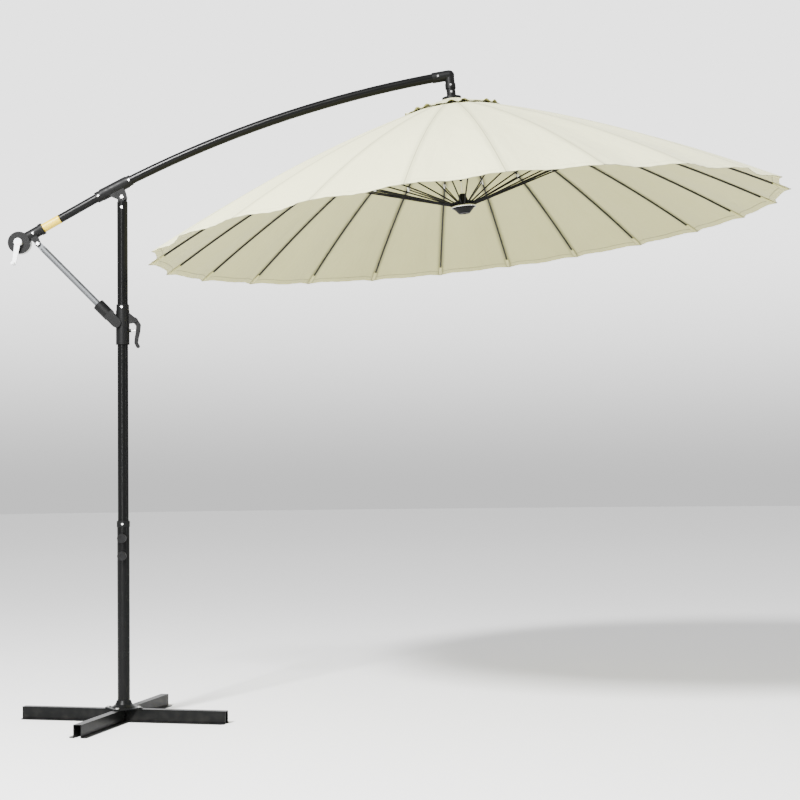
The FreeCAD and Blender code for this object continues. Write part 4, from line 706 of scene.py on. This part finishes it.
for k in range(1, RIBS + 1):
    body, joint = f"rib_{k:02d}_body", f"rib_{k:02d}_fold"
    for make, node, keep, flat, rest in (
            (cover_gore, "canopy", 0.13, (0.33, 1.20), f"rib_{k:02d}"),
            (vent_gore, "vent_cap", 0.26, (0.054, 0.165), "rib_hub")):
        cloth, area = make(k)
        cloth.data.materials.append(outer_cloth)
        cloth.data.materials.append(shaded_inner_cloth)
        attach(cloth, body)
        tuple(in_canopy(rib_turn(k), 0.5, 0.4))
        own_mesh(cloth)
        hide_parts(node)
    pocket = tip_pocket(k)
    pocket.data.materials.append(shaded_inner_cloth)
    plain_way(pocket)
    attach(pocket, body)
    bar = stretcher(k)
    bar.data.materials.append(link_steel)
    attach(bar, "runner_set")
    tuple(in_canopy(rib_turn(k), *RUNNER_HINGE))
    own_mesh(bar)
    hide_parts("stretchers")

crown = vent_crown()
crown.data.materials.append(outer_cloth)
plain_way(crown)
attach(crown, "arm")
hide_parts("vent_cap")

# ---------------------------------------------------------------- lift cord
cord_heights = np.linspace(0.206, 0.094, 24)
cord_path = in_canopy(0.0, 0.0, cord_heights)
cord_drop = tube_along("lift_cord_drop", cord_path, CORD_RADIUS)
cord_drop.data.materials.append(cord_braid)
knot_turn = np.linspace(0, 2 * math.pi, 60)
knot_size = 0.0017
knot_side = knot_size * (np.sin(knot_turn) + 2 * np.sin(2 * knot_turn))
knot_deep = knot_size * (np.cos(knot_turn) - 2 * np.cos(2 * knot_turn))
knot_path = (RIM_CENTRE + knot_side[:, None] * ACROSS_RIM + knot_deep[:, None] * SIDEWAYS
             + (0.0905 - 0.0016 * np.sin(3 * knot_turn))[:, None] * CANOPY_AXIS)
cord_knot = tube_along("lift_cord_knot", knot_path, CORD_RADIUS, 10)
cord_knot.data.materials.append(cord_braid)
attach(cord_knot, "runner_set")
tuple(in_canopy(0.0, 0.0, 0.205))
tuple(in_canopy(0.0, 0.0, 0.112))
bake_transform(cord_drop)
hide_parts("lift_cord")
tuple(in_canopy(0.0, 0.0, 0.206))

# ---------------------------------------------------------------- small trim
canopy_place = placed(ACROSS_RIM, SIDEWAYS, CANOPY_AXIS, RIM_CENTRE)
trim_profile = [(0.0478, 0.1046), (0.0490, 0.1044), (0.0496, 0.1062), (0.0496, 0.1098), (0.0490, 0.1112),
                (0.0482, 0.1112)]
runner_trim = turned_ring("runner_trim", trim_profile, canopy_place, 72)
runner_trim.data.materials.append(trim_metal)
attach(runner_trim, "runner_set")


def tube_axis(node):
    """Centre and direction of a straight tube: its box's middle and its longest principal axis."""
    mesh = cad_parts[node].data
    points = np.zeros(len(mesh.vertices) * 3, np.float32)
    mesh.vertices.foreach_get("co", points)
    points = points.reshape(-1, 3).astype(float)
    centre = (points.min(0) + points.max(0)) / 2
    ahead = np.linalg.svd(points - points.mean(0), full_matrices=False)[2][0]
    return centre, ahead * np.sign(ahead[0])


def label_band(low_x, high_x, radius):
    """Film round the rear tube between two X positions: a full turn at that radius, 0.3 mm thick."""
    centre, ahead = tube_axis("arm_rear_tube")
    start = centre + ahead * ((low_x - centre[0]) / ahead[0])
    length = (high_x - low_x) / ahead[0]
    side = np.array([0.0, 1.0, 0.0])
    up = np.cross(ahead, side)
    film = 0.0003
    profile = [(radius, 0.0), (radius + film, film)]
    profile += [(radius + film + 0.0001 * math.sin(i * 1.3), length * i / 12) for i in range(1, 12)]
    profile += [(radius + film, length - film), (radius, length)]
    return turned_ring("tube_label", profile, placed(side, -up, ahead, start), 40)


band = label_band(-0.318, -0.246, 0.0170)
band.data.materials.append(yellow_film)
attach(band, "arm")

# ---------------------------------------------------------------- floor, light and camera
floor_finish = Finish("studio_floor", (0.86, 0.86, 0.86), 0.9, specular=0.2)
floor_x, floor_y = floor_finish.node("SeparateXYZ", i0=floor_finish.place).outputs[:2]
floor_square = floor_finish.math("ADD", floor_finish.math("MULTIPLY", floor_x, floor_x),
                                 floor_finish.math("MULTIPLY", floor_y, floor_y))
floor_fade = floor_finish.steps(floor_finish.math("SQRT", floor_square), 3.0, 14.0)
floor_finish.feed("Base Color", floor_finish.mix(floor_fade, (0.84, 0.84, 0.84), (0.985, 0.985, 0.985)))
floor_sides, floor_height = 64, -0.0005
floor_turn = np.linspace(0, 2 * math.pi, floor_sides, endpoint=False)
floor_reach = np.array([0.5, 4.0, 40.0])
floor_points = np.stack([floor_reach[:, None] * np.cos(floor_turn), floor_reach[:, None] * np.sin(floor_turn),
                         np.full((len(floor_reach), floor_sides), floor_height)], -1)
floor_points = np.concatenate([floor_points.reshape(-1, 3), [[0, 0, floor_height]]])
floor_middle = len(floor_reach) * floor_sides
floor_faces = [list(f) for f in grid_faces(len(floor_reach), floor_sides, closed=True, inward=True)]
floor_first = np.arange(floor_sides)
floor_faces += [[floor_middle, a, b] for a, b in zip(floor_first, np.roll(floor_first, -1))]
floor = piece_of("studio_floor", floor_points, floor_faces, smooth=False)
floor.data.materials.append(floor_finish.material)

world = bpy.data.worlds.new("studio")
world.use_nodes = True
world_nodes, world_links = world.node_tree.nodes, world.node_tree.links
world_way = world_nodes.new("ShaderNodeSeparateXYZ")
world_links.new(world_nodes.new("ShaderNodeTexCoord").outputs["Generated"], world_way.inputs[0])


def world_steps(axis, low, high, out_low, out_high):
    """Smooth step along one direction of the sky."""
    made = world_nodes.new("ShaderNodeMapRange")
    made.interpolation_type = "SMOOTHSTEP"
    world_links.new(world_way.outputs[axis], made.inputs[0])
    for i, number in enumerate((low, high, out_low, out_high)):
        made.inputs[i + 1].default_value = number
    return made.outputs[0]


backdrop = world_nodes.new("ShaderNodeMath")
backdrop.operation = "MULTIPLY_ADD"
world_links.new(world_steps(1, 0.60, 0.90, 0.0, 1.0), backdrop.inputs[0])
world_links.new(world_steps(2, -0.01, 0.16, 0.0, 1.9), backdrop.inputs[1])
backdrop.inputs[2].default_value = 0.85
world_nodes["Background"].inputs[0].default_value = (1.0, 1.0, 1.0, 1)
world_links.new(backdrop.outputs[0], world_nodes["Background"].inputs[1])
bpy.context.scene.world = world


def soft_light(name, at, aim, wide, tall, power):
    """Area light of a width and a height at a point, facing another."""
    light = bpy.data.lights.new(name, "AREA")
    light.shape, light.size, light.size_y, light.energy = "RECTANGLE", wide, tall, power
    holder = bpy.data.objects.new(name, light)
    holder.location = at
    holder.rotation_euler = (Vector(aim) - Vector(at)).to_track_quat("-Z", "Y").to_euler()
    bpy.context.scene.collection.objects.link(holder)


soft_light("key", (-2.3, -5.8, 6.5), (1.2, 0, 2.0), 1.2, 1.2, 3100)
soft_light("left_strip", (-1.2, -4.9, 2.0), (0, 0, 2.0), 0.3, 3.2, 140)
soft_light("right_strip", (4.8, -1.4, 2.0), (0, 0, 2.0), 0.3, 3.2, 50)

camera = bpy.data.objects.new("camera", bpy.data.cameras.new("camera"))
pitch, roll = math.radians(2.714), math.radians(0.636)
right = Vector((math.cos(roll), math.sin(roll) * math.sin(pitch), -math.sin(roll) * math.cos(pitch)))
forward = Vector((0, math.cos(pitch), math.sin(pitch)))
upward = right.cross(forward)
camera_turn = Matrix((right, upward, -forward)).transposed().to_4x4()
camera.matrix_world = Matrix.Translation((1.0851, -6.2913, 0.9359)) @ camera_turn
camera.data.lens, camera.data.sensor_width = 72.36, 36
camera.data.clip_start, camera.data.clip_end = 0.1, 200
bpy.context.scene.collection.objects.link(camera)
bpy.context.scene.camera = camera
